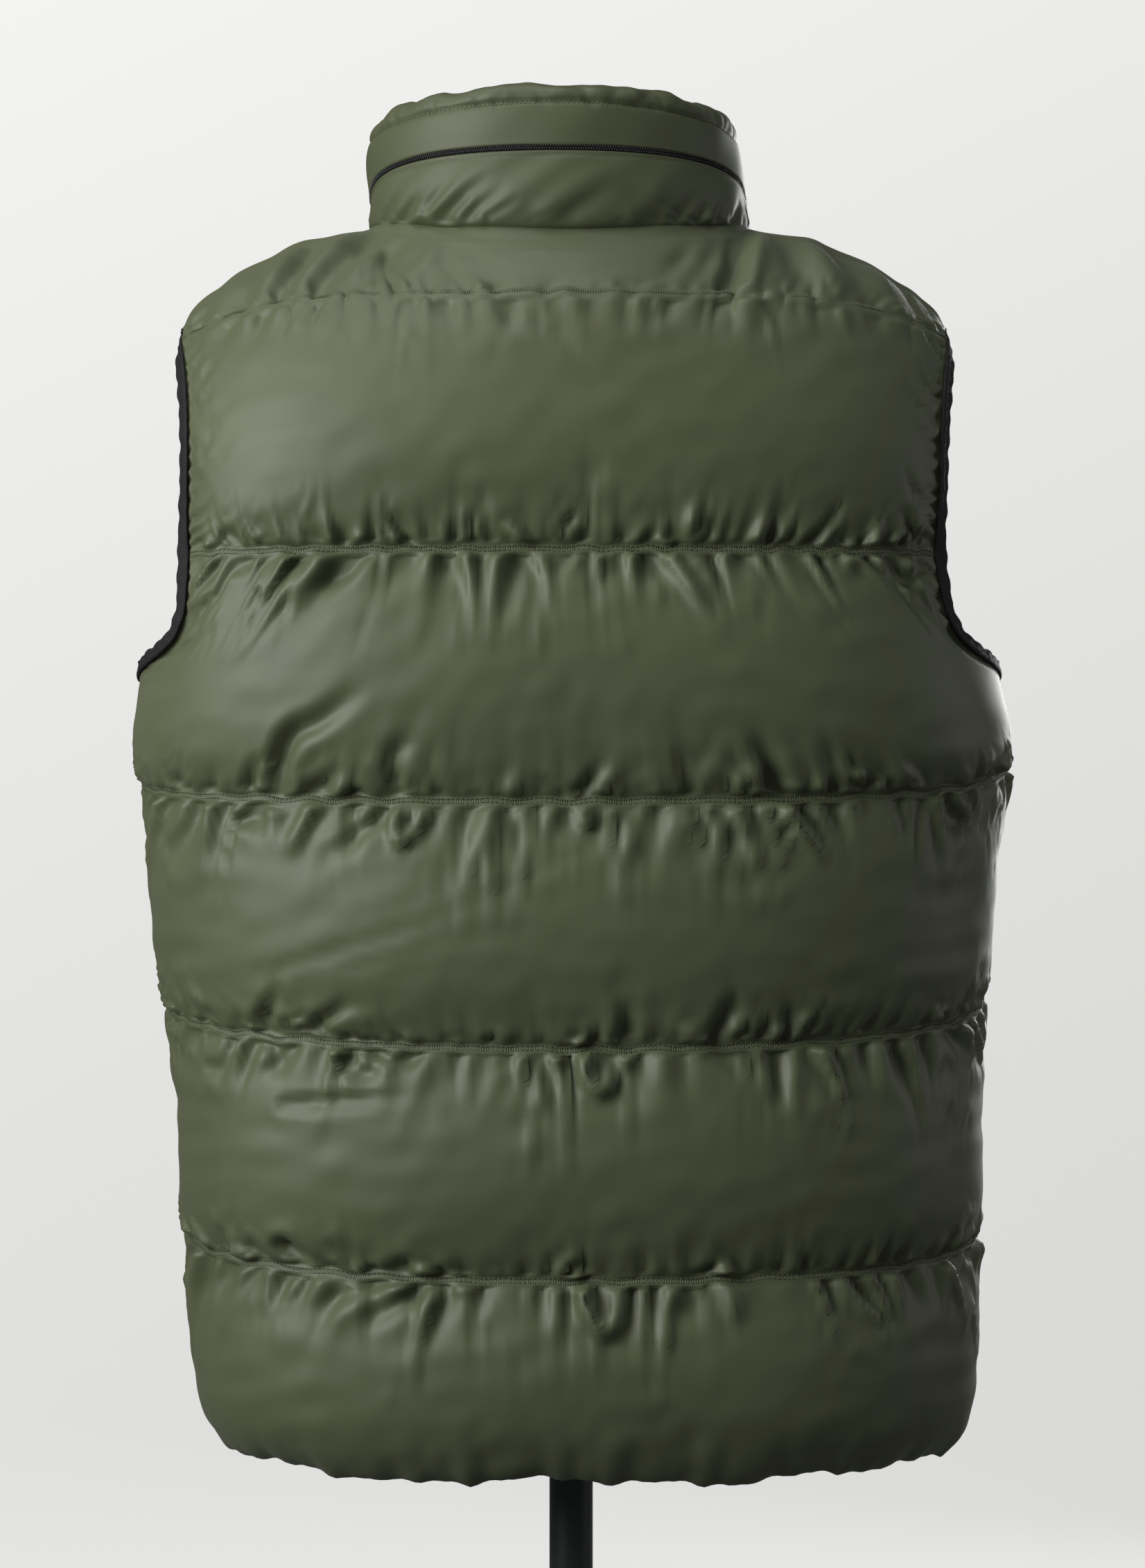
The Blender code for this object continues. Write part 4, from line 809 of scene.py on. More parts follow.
def quiltedPanel(name, side, paths, seed, materials):
    back = side == 0
    points, levels, size = panelShell(side, back)
    points[..., 2] += wanderSeams(points, levels, seed + 4) - scallopHem(points, levels, seed + 3)
    roundTips(points, (0, -1) if back else (-1,))
    outward = np.zeros_like(points)
    outward[..., 1] = 1 if back else -1
    normal = shareRims(gridNormals(points, outward), levels, size, back)
    loft = loftField(points, levels, size, back)
    lining = points - normal * shell["lining"]
    sides = 1.0 - np.abs(size)
    calm, edge = smoothStep(sides / fading["calm"]), smoothStep(sides / fading["side"])
    if not back:
        edge = edge * smoothStep((np.abs(size) - fading["zip"]) / fading["zipFade"])
    quiet = quietSeams(levels)
    crest = 1 - fading["crestLoss"] * smoothStep((levels - fading["crest"]) / fading["crestFade"])[:, None]
    hand, loose, gathered = paths(points, levels, size, seed)
    folds = quilting["hand"] * creaseField(points, hand) + longRipples(points, seed + 9)
    folds = folds * quiet * edge * crest
    puckered = (creaseField(points, loose) + waveTrain(points, levels, size, seed + 50)) * calm
    puckered = puckered * edge + creaseField(points, gathered) * edge ** fading["gatherPower"]
    puckered = puckered * quiet * crest
    pins = heldPlaces(levels, points.shape[:2])
    low = shell["face"] + loft * quilting["start"] + folds + puckered
    pinned = shell["face"] + loft + (folds + puckered) * quilting["pinnedFolds"]
    start = points + normal * np.where(pins > 0, pinned, low)[..., None]
    face = swellCloth(start, pins, outward)
    face += normal * ((folds + puckered) * quilting["crisp"])[..., None]
    lift = np.sum((face - points) * normal, -1)
    face = face + normal * np.maximum(quilting["thinnest"] - lift, 0)[..., None]
    face[..., 2] += lapEdge(levels, size, seed + 8) - overhang(levels) * calm
    piece = paddedMesh(name, face, lining, outward, materials)
    print("panel", name, len(piece.data.polygons), "faces")
    return {"piece": piece, "points": points, "levels": levels, "normal": normal, "face": face}


# materials
finishes = {
    "cloth": {"color": (0.073, 0.085, 0.041), "roughness": 0.53, "specular": 0.44},
    "collar": {"color": (0.069, 0.080, 0.040), "roughness": 0.55, "specular": 0.38},
    "thread": {"color": (0.062, 0.072, 0.036), "roughness": 0.6, "specular": 0.3},
    "lining": {"color": (0.010, 0.010, 0.011), "roughness": 0.7, "specular": 0.3},
    "binding": {"color": (0.0085, 0.0085, 0.0095), "roughness": 0.72, "specular": 0.3},
    "teeth": {"color": (0.012, 0.012, 0.014), "roughness": 0.35, "specular": 0.5},
    "metal": {"color": (0.016, 0.016, 0.018), "roughness": 0.34, "specular": 0.5},
    "jersey": {"color": (0.60, 0.56, 0.48), "roughness": 0.9, "specular": 0.2},
    "wood": {"color": (0.30, 0.19, 0.10), "roughness": 0.45, "specular": 0.4},
    "stand": {"color": (0.022, 0.024, 0.026), "roughness": 0.42, "specular": 0.45},
}


def newMaterial(name, finish):
    material = bpy.data.materials.new(name)
    material.use_nodes = True
    shader = material.node_tree.nodes["Principled BSDF"]
    shader.inputs["Roughness"].default_value = finish["roughness"]
    shader.inputs["Specular IOR Level"].default_value = finish["specular"]
    shader.inputs["Base Color"].default_value = (*finish["color"], 1)
    return material, material.node_tree, shader


def addNode(tree, kind, inputs=None, **facts):
    node = tree.nodes.new(kind)
    for key, value in facts.items():
        setattr(node, key, value)
    for key, value in (inputs or {}).items():
        node.inputs[key].default_value = value
    return node


def joinNodes(tree, *joins):
    # each join: a node, its output, the next node, its input
    for start, output, end, socket in joins:
        tree.links.new(start.outputs[output], end.inputs[socket])


def tintByNoise(tree, shader, color, scale, amount):
    # slight patches of lighter and darker colour
    place = addNode(tree, "ShaderNodeTexCoord")
    patches = addNode(tree, "ShaderNodeTexNoise", {"Scale": scale, "Detail": 3.0})
    ramp = addNode(tree, "ShaderNodeValToRGB")
    for element, position, gain in zip(ramp.color_ramp.elements, (0.3, 0.7), (1 - amount, 1 + amount)):
        element.position = position
        element.color = (*[c * gain for c in color], 1)
    joinNodes(tree, (place, "Object", patches, "Vector"), (patches, "Fac", ramp, "Fac"),
              (ramp, "Color", shader, "Base Color"))
    return place


def wovenMaterial(name, finish, thread, strength, wrinkle=0.0):
    # plain weave on the cloth map, with a faint crumple under it
    material, tree, shader = newMaterial(name, finish)
    place = tintByNoise(tree, shader, finish["color"], 9.0, 0.06)
    weave = addNode(tree, "ShaderNodeMath", operation="MAXIMUM")
    for number, axis in enumerate("XY"):
        wave = addNode(tree, "ShaderNodeTexWave",
                       {"Scale": 1 / (2 * math.pi * thread), "Distortion": 0.6, "Detail": 1.0},
                       wave_type="BANDS", bands_direction=axis)
        joinNodes(tree, (place, "UV", wave, "Vector"), (wave, "Fac", weave, number))
    bump = addNode(tree, "ShaderNodeBump", {"Strength": strength, "Distance": thread * 0.5})
    crumple = addNode(tree, "ShaderNodeTexNoise", {"Scale": 60.0, "Detail": 4.0, "Roughness": 0.6})
    under = addNode(tree, "ShaderNodeBump", {"Strength": wrinkle, "Distance": 0.4 * mm})
    joinNodes(tree, (weave, 0, bump, "Height"), (place, "Object", crumple, "Vector"),
              (crumple, "Fac", under, "Height"), (under, "Normal", bump, "Normal"),
              (bump, "Normal", shader, "Normal"))
    return material


def plainMaterial(name, finish, metallic=0.0, scale=120.0, bump=0.05):
    material, tree, shader = newMaterial(name, finish)
    shader.inputs["Metallic"].default_value = metallic
    place = tintByNoise(tree, shader, finish["color"], scale, 0.10)
    grain = addNode(tree, "ShaderNodeTexNoise", {"Scale": scale * 6, "Detail": 2.0})
    relief = addNode(tree, "ShaderNodeBump", {"Strength": bump, "Distance": 0.1 * mm})
    joinNodes(tree, (place, "Object", grain, "Vector"), (grain, "Fac", relief, "Height"),
              (relief, "Normal", shader, "Normal"))
    return material


cloth = wovenMaterial("satin_down_nylon", finishes["cloth"], 0.45 * mm, 0.08, wrinkle=0.10)
cloth.node_tree.nodes["Principled BSDF"].inputs["Sheen Weight"].default_value = 0.06
collarCloth = wovenMaterial("satin_collar_nylon", finishes["collar"], 0.45 * mm, 0.08, wrinkle=0.12)
lining = wovenMaterial("dark_lining", finishes["lining"], 0.5 * mm, 0.1)
bindingTape = wovenMaterial("ribbed_binding", finishes["binding"], 1.1 * mm, 0.5)
threadFinish = plainMaterial("sewing_thread", finishes["thread"])
toothFinish = plainMaterial("zip_teeth_black", finishes["teeth"])
metalFinish = plainMaterial("zip_metal_black", finishes["metal"], metallic=0.6)
jersey = plainMaterial("form_jersey_cover", finishes["jersey"], scale=400.0, bump=0.25)
wood = plainMaterial("cap_wood_oiled", finishes["wood"], scale=30.0)
standPaint = plainMaterial("stand_paint", finishes["stand"], scale=200.0)
print("materials ready")


# panels
def finishPiece(piece, node, carrier=body):
    if node:
        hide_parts(node)
    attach(piece, carrier)


softer = {"width": 1.2, "depth": 0.75}                       # for the folds of the shoulders


def backPaths(points, levels, size, seed):
    hand = handPaths(backCreases, points)
    for path, halfWidth, depth in handPaths(shoulderFolds, points):
        hand.append((path, halfWidth * softer["width"], depth * softer["depth"]))
    gathered = armholeGathers(points, levels, 0, seed + 1) + armholeGathers(points, levels, -1, seed + 2)
    return hand, randomPuckers(points, levels, size, seed), gathered


def frontPaths(side):
    def paths(points, levels, size, seed):
        hand = handPaths(frontCreases, points, side)
        return hand, randomPuckers(points, levels, size, seed), armholeGathers(points, levels, -1, seed + 1)
    return paths


panels = {
    "back": quiltedPanel("back_cloth", 0, backPaths, 11, (cloth, lining)),
    "left": quiltedPanel("front_left_cloth", 1, frontPaths(1), 23, (cloth, lining)),
    "right": quiltedPanel("front_right_cloth", -1, frontPaths(-1), 37, (cloth, lining)),
}
for word, node in (("back", "back_panel"), ("left", "front_left"), ("right", "front_right")):
    finishPiece(panels[word]["piece"], node)


# collar
collar = {
    # outer face: share of the height, half width, depth of the back and of the front, lean to the left
    "rings": ((0.00, 0.1080, 0.0755, 0.0895, 0.0 * mm), (0.35, 0.1085, 0.0822, 0.0920, 0.6 * mm),
              (0.70, 0.1050, 0.0820, 0.0895, 2.4 * mm), (1.00, 0.0985, 0.0785, 0.0835, 0.5 * mm)),
    "zBack": 1.2995, "zSide": 1.2925, "zFront": 1.2355, "ceiling": 1.3012,
    "zipSide": 0.018, "zipBack": 0.046, "zipHeight": 3.0 * mm, "lip": 0.3 * mm,
    # outline of the band: share of its height, distance inwards from the outer face
    "band": ((0.04, 4.0 * mm), (-0.015, 1.6 * mm), (0.0, 0.8 * mm), (0.10, 0.3 * mm), (0.30, -0.7 * mm),
             (0.55, -1.5 * mm), (0.78, -1.0 * mm), (0.92, 1.2 * mm), (1.00, 5.8 * mm), (0.93, 11.6 * mm),
             (0.75, 14.6 * mm), (0.40, 15.2 * mm), (0.04, 11.5 * mm)),
    "bandHeight": 38 * mm, "stripBack": 10.5 * mm, "stripSide": 15.5 * mm, "stripPuff": 1.5 * mm,
    "groove": 1.5 * mm, "grooveHalf": 1.3 * mm, "topWave": 1.3 * mm, "topLimit": 1.6 * mm,
    "topFrom": 0.72, "topFade": 0.25,                        # shares of the height that the waves lift
    "columns": 420, "bandRows": 84, "outlinePoints": 400,
    "gathersFrom": 0.70,                                     # share of the height where gathers start
    # gathers of the band: way up or down, columns apart, rows long, depth and half width (mm), seed
    "gathers": ((1, (5, 11), (5, 13), (0.10, 0.45), (1.4, 2.4), 5),
                (-1, (7, 16), (3, 7), (0.08, 0.3), (1.2, 2.0), 6),
                (1, (16, 40), (10, 20), (0.4, 1.0), (2.4, 3.8), 8)),
    # the stand: rows of its face and of its lining, wall, bulge all round and at the back
    "standRows": 34, "innerRows": 9, "wall": 7.0 * mm, "bulge": 2.2 * mm, "bulgeBack": 9.0 * mm,
    "inset": 1.2 * mm, "footOut": 0.5 * mm, "footUp": 1.3 * mm, "creaseDepth": 0.7, "creaseHalf": 1.45,
    # stitches under the zip, in millimetres: distance down, groove's depth and half width
    "standStitch": 2.2, "standGroove": 0.7, "standGrooveHalf": 0.9,
    "standGathers": ((6, 14), (5, 14), (0.15, 0.7), (1.4, 2.6), 31, 0.7),
}
collarAngles = np.linspace(-frontNeckEnd(), frontNeckEnd(), collar["columns"] + 1)
# creases of the stand, as those of the panels
standCreases = (
    (((105, 1226), (100, 1235), (95, 1242)), 3.4, 3.4), (((96, 1222), (90, 1230), (82, 1240)), 3.6, 2.8),
    (((79, 1232), (72, 1240), (64, 1249)), 3.2, 2.2), (((71, 1225), (58, 1238), (44, 1249)), 4.2, 2.6),
    (((62, 1226), (56, 1232), (52, 1240)), 3.0, -1.6), (((56, 1226), (46, 1234), (35, 1242)), 3.6, 2.0),
    (((44, 1226), (36, 1231), (28, 1237)), 3.2, 1.6), (((88, 1224), (82, 1230), (78, 1236)), 3.0, -1.8),
    (((14, 1230), (0, 1241), (-18, 1253)), 6.0, -1.5), (((2, 1226), (-12, 1236), (-26, 1246)), 5.0, 1.2),
    (((-57, 1226), (-62, 1234), (-69, 1241)), 3.6, 2.2),
    (((-68, 1224), (-70, 1230), (-74, 1237)), 3.0, 2.4),
    (((-80, 1224), (-80, 1231), (-84, 1239)), 3.2, 2.6),
    (((-90, 1224), (-92, 1232), (-94, 1241)), 3.2, 2.8),
    (((-101, 1226), (-99, 1234), (-98, 1244)), 3.0, 2.4), (((-74, 1225), (-76, 1232)), 2.6, -1.6),
    (((-44, 1226), (-36, 1236), (-24, 1246)), 6.0, 1.2), (((-34, 1226), (-52, 1244)), 6.0, -1.2),
)


def collarTop(angle):
    share = np.cos(angle)
    return mix(collar["zSide"], np.where(share > 0, collar["zBack"], collar["zFront"]), np.abs(share) ** 1.6)


def collarPoint(angle, z, inset):
    angle, z, inset = np.broadcast_arrays(angle, z, inset)
    share = np.cos(angle)
    bottom = neckRing(angle)[..., 2]
    v = (z - bottom) / (collarTop(angle) - bottom)
    half = smooth(v, collar["rings"], 1) - inset
    depth = np.where(share > 0, smooth(v, collar["rings"], 2), smooth(v, collar["rings"], 3)) - inset
    x = half * np.sin(angle) + sway(z) + smooth(v, collar["rings"], 4) * (1 - np.abs(share))
    return np.stack([x, neck["centre"] + depth * share, z], -1)


def zipLine(angle):
    # height of the zip's middle
    rise = mix(collar["zipSide"], collar["zipBack"], np.maximum(np.cos(angle), 0) ** 0.8)
    return neckRing(angle)[..., 2] + rise


def bandStitch(angle):
    # depth of the strip along the band's top, and height of the stitches under it
    strip = mix(collar["stripSide"], collar["stripBack"], np.maximum(np.cos(angle), 0) ** 0.7)
    return strip, collarTop(angle) - strip


def levelEnds(sections):
    # the collar's front ends lie flat against the zip
    for row, side in ((0, -1), (-1, 1)):
        sections[row, :, 0] = side * shell["zipHalf"] + sway(sections[row, :, 2])
    return sections


def closedSweep(name, sections, material, ring=False):
    # closed solid through sections of equal point counts, with a flat map in metres
    rows, count = sections.shape[:2]
    index = np.arange(rows * count).reshape(rows, count)
    one = index if ring else index[:-1]
    two = np.roll(index, -1, 0) if ring else index[1:]
    faces = np.stack([one, np.roll(one, -1, 1), np.roll(two, -1, 1), two], -1).reshape(-1, 4).tolist()
    if not ring:
        faces += [index[0, ::-1].tolist(), index[-1].tolist()]
    obj = makeObject(name, sections.reshape(-1, 3), faces, (material,))
    builder = bmesh.new()
    builder.from_mesh(obj.data)
    bmesh.ops.recalc_face_normals(builder, faces=builder.faces[:])
    builder.to_mesh(obj.data)
    builder.free()
    obj.data.shade_smooth()
    about, along = gridRuns(sections)
    addClothMap(obj, np.stack([along, about], -1).reshape(-1, 2))
    return obj


def profileSweep(name, centre, normal, profile):
    # tape whose profile is given as (to the left, outwards) in millimetres
    sections = [centre + normal * out * mm + np.array([x * mm, 0, 0]) for x, out in profile]
    return closedSweep(name, np.stack(sections, 1), bindingTape)


def waves(angle, seed, lengths, sizes):
    # uneven waves along the collar
    dice = np.random.default_rng(seed)
    total = 0
    for length, size in zip(lengths, sizes):
        for _ in range(3):
            phase = angle * 2 * math.pi * 0.1 / (length * dice.uniform(0.75, 1.3)) + dice.uniform(0, fullWave)
            total = total + size / 1.7 * np.sin(phase)
    return total


def collarGathers(grid, row, way, spacing, reach, depth, halfWidth, seed, lean=0.3):
    # short gathers that start at one row and run up or down the grid
    dice = np.random.default_rng(seed)
    steps = np.linspace(0, 1, 7)
    paths = []
    at = 4
    while at < collar["columns"] - 4:
        length = mix(*reach, dice.random() ** 1.5)
        i = np.clip(row + way * steps * length, 0, grid.shape[0] - 1).astype(int)
        j = np.clip(at + dice.normal(0, lean) * steps * length * 1.2, 0, grid.shape[1] - 1).astype(int)
        paths.append((grid[i, j], mix(*halfWidth, dice.random()) * mm, mix(*depth, dice.random()) * mm))
        at += dice.uniform(*spacing)
    return paths


def awayFromNeck(grid):
    outward = grid - np.array([0, neck["centre"], 0])
    outward[..., 2] = 0
    return outward


def collarBand():
    angle = collarAngles
    outline = curvedPath(collar["band"], collar["outlinePoints"])
    run = runAlong(outline * [collar["bandHeight"], 1])
    even = np.linspace(0, run[-1], collar["bandRows"])
    share, inset = (np.interp(even, run, outline[:, k]) for k in (0, 1))
    bottom, top = zipLine(angle) + collar["zipHeight"] / 2 + collar["lip"], collarTop(angle)
    z = bottom + share[:, None] * (top - bottom)
    grid = collarPoint(angle[None], z, inset[:, None])
    topRow = int(share.argmax())
    outer = (np.arange(len(share)) <= topRow)[:, None]
    normal = gridNormals(grid, awayFromNeck(grid))
    normal = normal * np.sign(np.sum(normal * awayFromNeck(grid), -1)[topRow // 2].mean())
    # strip between the top and a row of stitches
    strip, stitch = bandStitch(angle)
    depth = z - stitch
    groove = -collar["groove"] * np.exp(-(depth / collar["grooveHalf"]) ** 2)
    puff = collar["stripPuff"] * np.sin(math.pi * np.clip(depth / strip, 0, 1))
    puff = puff * (1 + 0.4 * waves(angle, 3, (0.05, 0.022), (1, 0.7)))
    stitchRow = int(np.argmin(np.abs(share[:topRow] - collar["gathersFrom"])))
    paths = [path for facts in collar["gathers"] for path in collarGathers(grid, stitchRow, *facts)]
    creases = creaseField(grid, paths)
    lift = np.where(outer, groove + puff + creases, creases * 0.3)
    soft = waves(angle[None] + 0.8 * z / 0.1, 17, (0.09, 0.05), (0.35 * mm, 0.2 * mm))
    grid = grid + normal * (lift + soft * outer)[..., None]
    rise = waves(angle, 21, (0.075, 0.036, 0.017), (1.0, 0.55, 0.2)) * collar["topWave"]
    lifted = smoothStep((share - collar["topFrom"]) / collar["topFade"])[:, None]
    grid[..., 2] += np.minimum(rise, collar["topLimit"]) * lifted
    grid[..., 2] = np.minimum(grid[..., 2], collar["ceiling"])
    sections = levelEnds(np.swapaxes(grid, 0, 1).copy())
    return closedSweep("collar_band_cloth", sections, collarCloth), sections


def collarStand():
    angle = collarAngles
    seam = neckRing(angle)
    seam[..., 0] += sway(seam[..., 2])
    rim = neckRim(angle)
    out = unit(np.cross(neckRing(angle + 0.01) - neckRing(angle - 0.01), rim))
    base = seam + out * collar["footOut"]
    top = zipLine(angle) - collar["zipHeight"] / 2 - collar["lip"]
    f = np.linspace(0, 1, collar["standRows"])[:, None]
    low, high = base + rim * collar["footUp"], collarPoint(angle, top, collar["inset"])
    height = mix(low[None, :, 2], high[None, :, 2], f)
    face = mix(low[None], high[None], f[..., None])
    face = mix(face, collarPoint(angle[None], height, collar["inset"]), smoothStep(f / 0.5)[..., None])
    normal = gridNormals(face, awayFromNeck(face))
    paths = handPaths(standCreases, face[:, np.abs(angle) < collar["creaseHalf"]])
    paths = [(path, halfWidth, depth * collar["creaseDepth"]) for path, halfWidth, depth in paths]
    paths += collarGathers(face, 0, 1, *collar["standGathers"])
    bulge = collar["bulge"] + collar["bulgeBack"] * np.maximum(np.cos(angle), 0)
    below = (top - height) / mm
    near = np.exp(-((below - collar["standStitch"]) / collar["standGrooveHalf"]) ** 2)
    groove = -collar["standGroove"] * mm * near
    hold = smoothStep(f / 0.08) * smoothStep(below / 5)
    soft = waves(angle[None] + 1.4 * height / 0.1, 41, (0.07, 0.035), (0.5 * mm, 0.3 * mm))
    lift = bulge * np.sin(math.pi * f ** 0.58) * 0.5 + (creaseField(face, paths) + soft) * hold + groove
    face = face + normal * lift[..., None]
    g = np.linspace(0, 1, collar["innerRows"])[:, None]
    lowest = base - rim * shell["lining"]
    inner = mix(collarPoint(angle, top, collar["wall"])[None], lowest[None], g[..., None])
    upright = collarPoint(angle[None], inner[..., 2], collar["wall"])
    inner = mix(inner, upright, (0.9 * (1 - g) ** 0.5)[..., None])
    sections = levelEnds(np.swapaxes(np.concatenate([face, inner]), 0, 1).copy())
    return closedSweep("collar_stand_cloth", sections, collarCloth), sections


band, bandSections = collarBand()
stand, standSections = collarStand()
for piece, node in ((band, "collar_band"), (stand, "collar_stand")):
    finishPiece(piece, node)
print("collar ready")


# armhole bindings
binding = {
    "gap": 0.4 * mm, "width": 7.8 * mm, "lap": 1.4 * mm, "outer": 3.0 * mm, "inner": 2.8 * mm, "count": 300,
    "gather": 0.16 * mm, "spacing": 8 * mm, "curl": 0.2, "flare": 0.75,
    "tip": 0.85, "tipReach": 15 * mm,                        # the tape narrows over the shoulder's tip
    "wander": 0.06, "flat": 0.014,
}


def armholePath(word, side):
    # edge of an armhole, up the back and down the front: distances, places, normals, padded heights
    column = -1 if side > 0 else 0
    back, front = panels["back"], panels[word]
    rows = np.where(back["levels"] > 3.0)[0]
    rows = rows[back["points"][rows, column, 2] > shell["underarm"] + 0.4 * mm]
    path, normals, heights = [], [], []
    for panel, edge, order in ((back, column, rows), (front, -1, rows[::-1])):
        points, normal = panel["points"][order, edge], panel["normal"][order, edge]
        path.append(points)
        normals.append(normal)
        heights.append(np.sum((panel["face"][order, edge] - points) * normal, -1))
    path, normals, heights = (np.concatenate(part) for part in (path, normals, heights))
    run = runAlong(path)
    even = np.linspace(0, run[-1], binding["count"])
    return even, placesAt(even, run, path), unit(placesAt(even, run, normals)), np.interp(even, run, heights)


def armholeBinding(word, side):
    # black tape folded round the padded edge of one armhole
    even, path, normals, heights = armholePath(word, side)
    for _ in range(4):
        normals = unit(np.roll(normals, 1, 0) + np.roll(normals, -1, 0) + 2 * normals)
    along = unit(np.roll(path, -1, 0) - np.roll(path, 1, 0))
    away = unit(np.cross(along, normals)) * -side
    away = unit(away - normals * binding["curl"] + np.array([side * binding["flare"], 0, 0]))
    phase = fullWave * even[:, None] / binding["spacing"]
    pinch = binding["gather"] * (np.sin(phase) + 0.6 * np.sin(1.7 * phase + 1))
    wave = np.sin(0.61 * phase + 2) + 0.7 * np.sin(0.37 * phase)
    down = path[:, 2].max() - path[:, 2]
    tip = binding["tip"] * np.exp(-(down / binding["tipReach"]) ** 2)[:, None]
    near = path + away * binding["gap"]
    far = near + away * binding["width"] * (1 - tip + binding["wander"] * wave)
    lap = -binding["lap"] / binding["width"]
    slim = 1 - 0.9 * tip
    heights = heights[:, None]
    # profile: share of the width, distance outwards
    profile = ((0, heights - 0.6 * mm), (lap, heights + 0.9 * mm * slim),
               (lap * 0.5, heights + (1.5 * mm + pinch * 0.5) * slim),
               (0.2, heights * 0.8 + (1.6 * mm + pinch) * slim),
               (0.55, (binding["outer"] + pinch) * slim), (0.85, (2.4 * mm + pinch * 0.5) * slim),
               (1.0, 0.6 * mm), (1.0, -0.6 * mm), (0.85, -2.2 * mm), (0.5, -binding["inner"]),
               (0.2, -2.6 * mm), (0, -2.2 * mm))
    sections = np.stack([mix(near, far, share) + normals * out for share, out in profile], 1)
    return closedSweep("binding_tape_" + word, sections, bindingTape, ring=True), runAlong(sections[:, 4])[-1]


for word, side in (("left", 1), ("right", -1)):
    tape, length = armholeBinding(word, side)
    finishPiece(tape, "armhole_binding_" + word)
print("bindings ready")


# zips
zips = {
    "hoodPitch": 1.45 * mm, "hoodTooth": {"Width": 1.7 * mm, "Rise": 0.9 * mm, "Thickness": 0.85 * mm},
    "frontPitch": 2.4 * mm, "frontTooth": {"Width": 2.9 * mm, "Rise": 2.0 * mm, "Thickness": 1.5 * mm},
    # profiles in millimetres: to the side and outwards
    "tape": ((2.7, 0.5), (6.0, 0.85), (11.4, 0.4), (11.4, -0.9), (2.7, -0.7)), "tapeFlat": 0.010,
    "core": ((-2.0, 0.7), (2.0, 0.7), (2.0, -0.9), (-2.0, -0.9)),
    "places": 240, "smoothing": 6, "collarPlaces": 8, "collarInset": 4.0 * mm,
}


def frontLine():
    # centre-front path from the hem to the collar's top
    path, normal = panels["left"]["points"][:-1, 0], panels["left"]["normal"][:-1, 0]
    end = frontNeckEnd()
    bottom, top = neckRing(np.array(end))[2], collarTop(np.array(end))
    count = zips["collarPlaces"]
    height = mix(bottom, top, np.linspace(0.12, 1.0, count))
    path = np.concatenate([path, collarPoint(np.full(count, end), height, zips["collarInset"])])
    normal = np.concatenate([normal, np.tile([0.0, -1.0, 0.0], (count, 1))])
    path[:, 0] = sway(path[:, 2])
    normal[:, 0] = 0
    run = runAlong(path)
    even = np.linspace(0, run[-1], zips["places"])
    path, normal = placesAt(even, run, path), unit(placesAt(even, run, normal))
    for _ in range(zips["smoothing"]):
        path[1:-1] = (path[:-2] + path[2:] + 2 * path[1:-1]) / 4
        normal[1:-1] = unit(normal[:-2] + normal[2:] + 2 * normal[1:-1])
    return path, normal


def teethTree():
    # copies of one tooth on points, turned by the points' own directions
    tree = bpy.data.node_groups.new("zipTeeth", "GeometryNodeTree")
    inputs = {}
    for label, kind, value in (("Geometry", "Geometry", None), ("Width", "Float", 2.6 * mm),
                               ("Rise", "Float", 0.7 * mm), ("Thickness", "Float", 0.9 * mm),
                               ("Rounding", "Int", 1), ("Finish", "Material", None)):
        inputs[label] = tree.interface.new_socket(label, in_out="INPUT", socket_type="NodeSocket" + kind)
        if value:
            inputs[label].default_value = value
    tree.interface.new_socket("Geometry", in_out="OUTPUT", socket_type="NodeSocketGeometry")
    start, end = addNode(tree, "NodeGroupInput"), addNode(tree, "NodeGroupOutput")
    size = addNode(tree, "ShaderNodeCombineXYZ")
    cube = addNode(tree, "GeometryNodeMeshCube")
    rounded = addNode(tree, "GeometryNodeSubdivisionSurface")
    copies = addNode(tree, "GeometryNodeInstanceOnPoints")
    turn = addNode(tree, "GeometryNodeInputNamedAttribute", {"Name": "turn"}, data_type="FLOAT_VECTOR")
    real = addNode(tree, "GeometryNodeRealizeInstances")
    finish = addNode(tree, "GeometryNodeSetMaterial")
    joinNodes(tree, (start, "Geometry", copies, "Points"), (start, "Width", size, "X"),
              (start, "Rise", size, "Y"), (start, "Thickness", size, "Z"), (size, 0, cube, "Size"),
              (cube, "Mesh", rounded, "Mesh"), (start, "Rounding", rounded, "Level"),
              (rounded, "Mesh", copies, "Instance"), (turn, "Attribute", copies, "Rotation"),
              (copies, "Instances", real, "Geometry"), (real, "Geometry", finish, "Geometry"),
              (start, "Finish", finish, "Material"), (finish, "Geometry", end, "Geometry"))
    return tree, {label: socket.identifier for label, socket in inputs.items()}


teeth, teethInputs = teethTree()


def placeCopies(name, places, alongs, outs, settings, finish):
    # tooth or stitch copies: X along, Y outwards
    points = bpy.data.meshes.new(name + "_places")
    points.from_pydata([tuple(p) for p in places], [], [])
    alongs, outs = unit(alongs), unit(outs)
    third = unit(np.cross(alongs, outs))
    outs = np.cross(third, alongs)
    turns = np.stack([np.arctan2(outs[:, 2], third[:, 2]), -np.arcsin(np.clip(alongs[:, 2], -1, 1)),
                      np.arctan2(alongs[:, 1], alongs[:, 0])], -1)
    points.attributes.new("turn", "FLOAT_VECTOR", "POINT").data.foreach_set("vector", turns.ravel())
    source = addObject(name + "_source", points)
    modifier = source.modifiers.new("copies", "NODES")
    modifier.node_group = teeth
    for label, value in {**settings, "Finish": finish}.items():
        modifier[teethInputs[label]] = value
    mesh = bpy.data.meshes.new_from_object(source.evaluated_get(bpy.context.evaluated_depsgraph_get()))
    bpy.data.objects.remove(source)
    mesh.shade_smooth()
    return addObject(name, mesh)


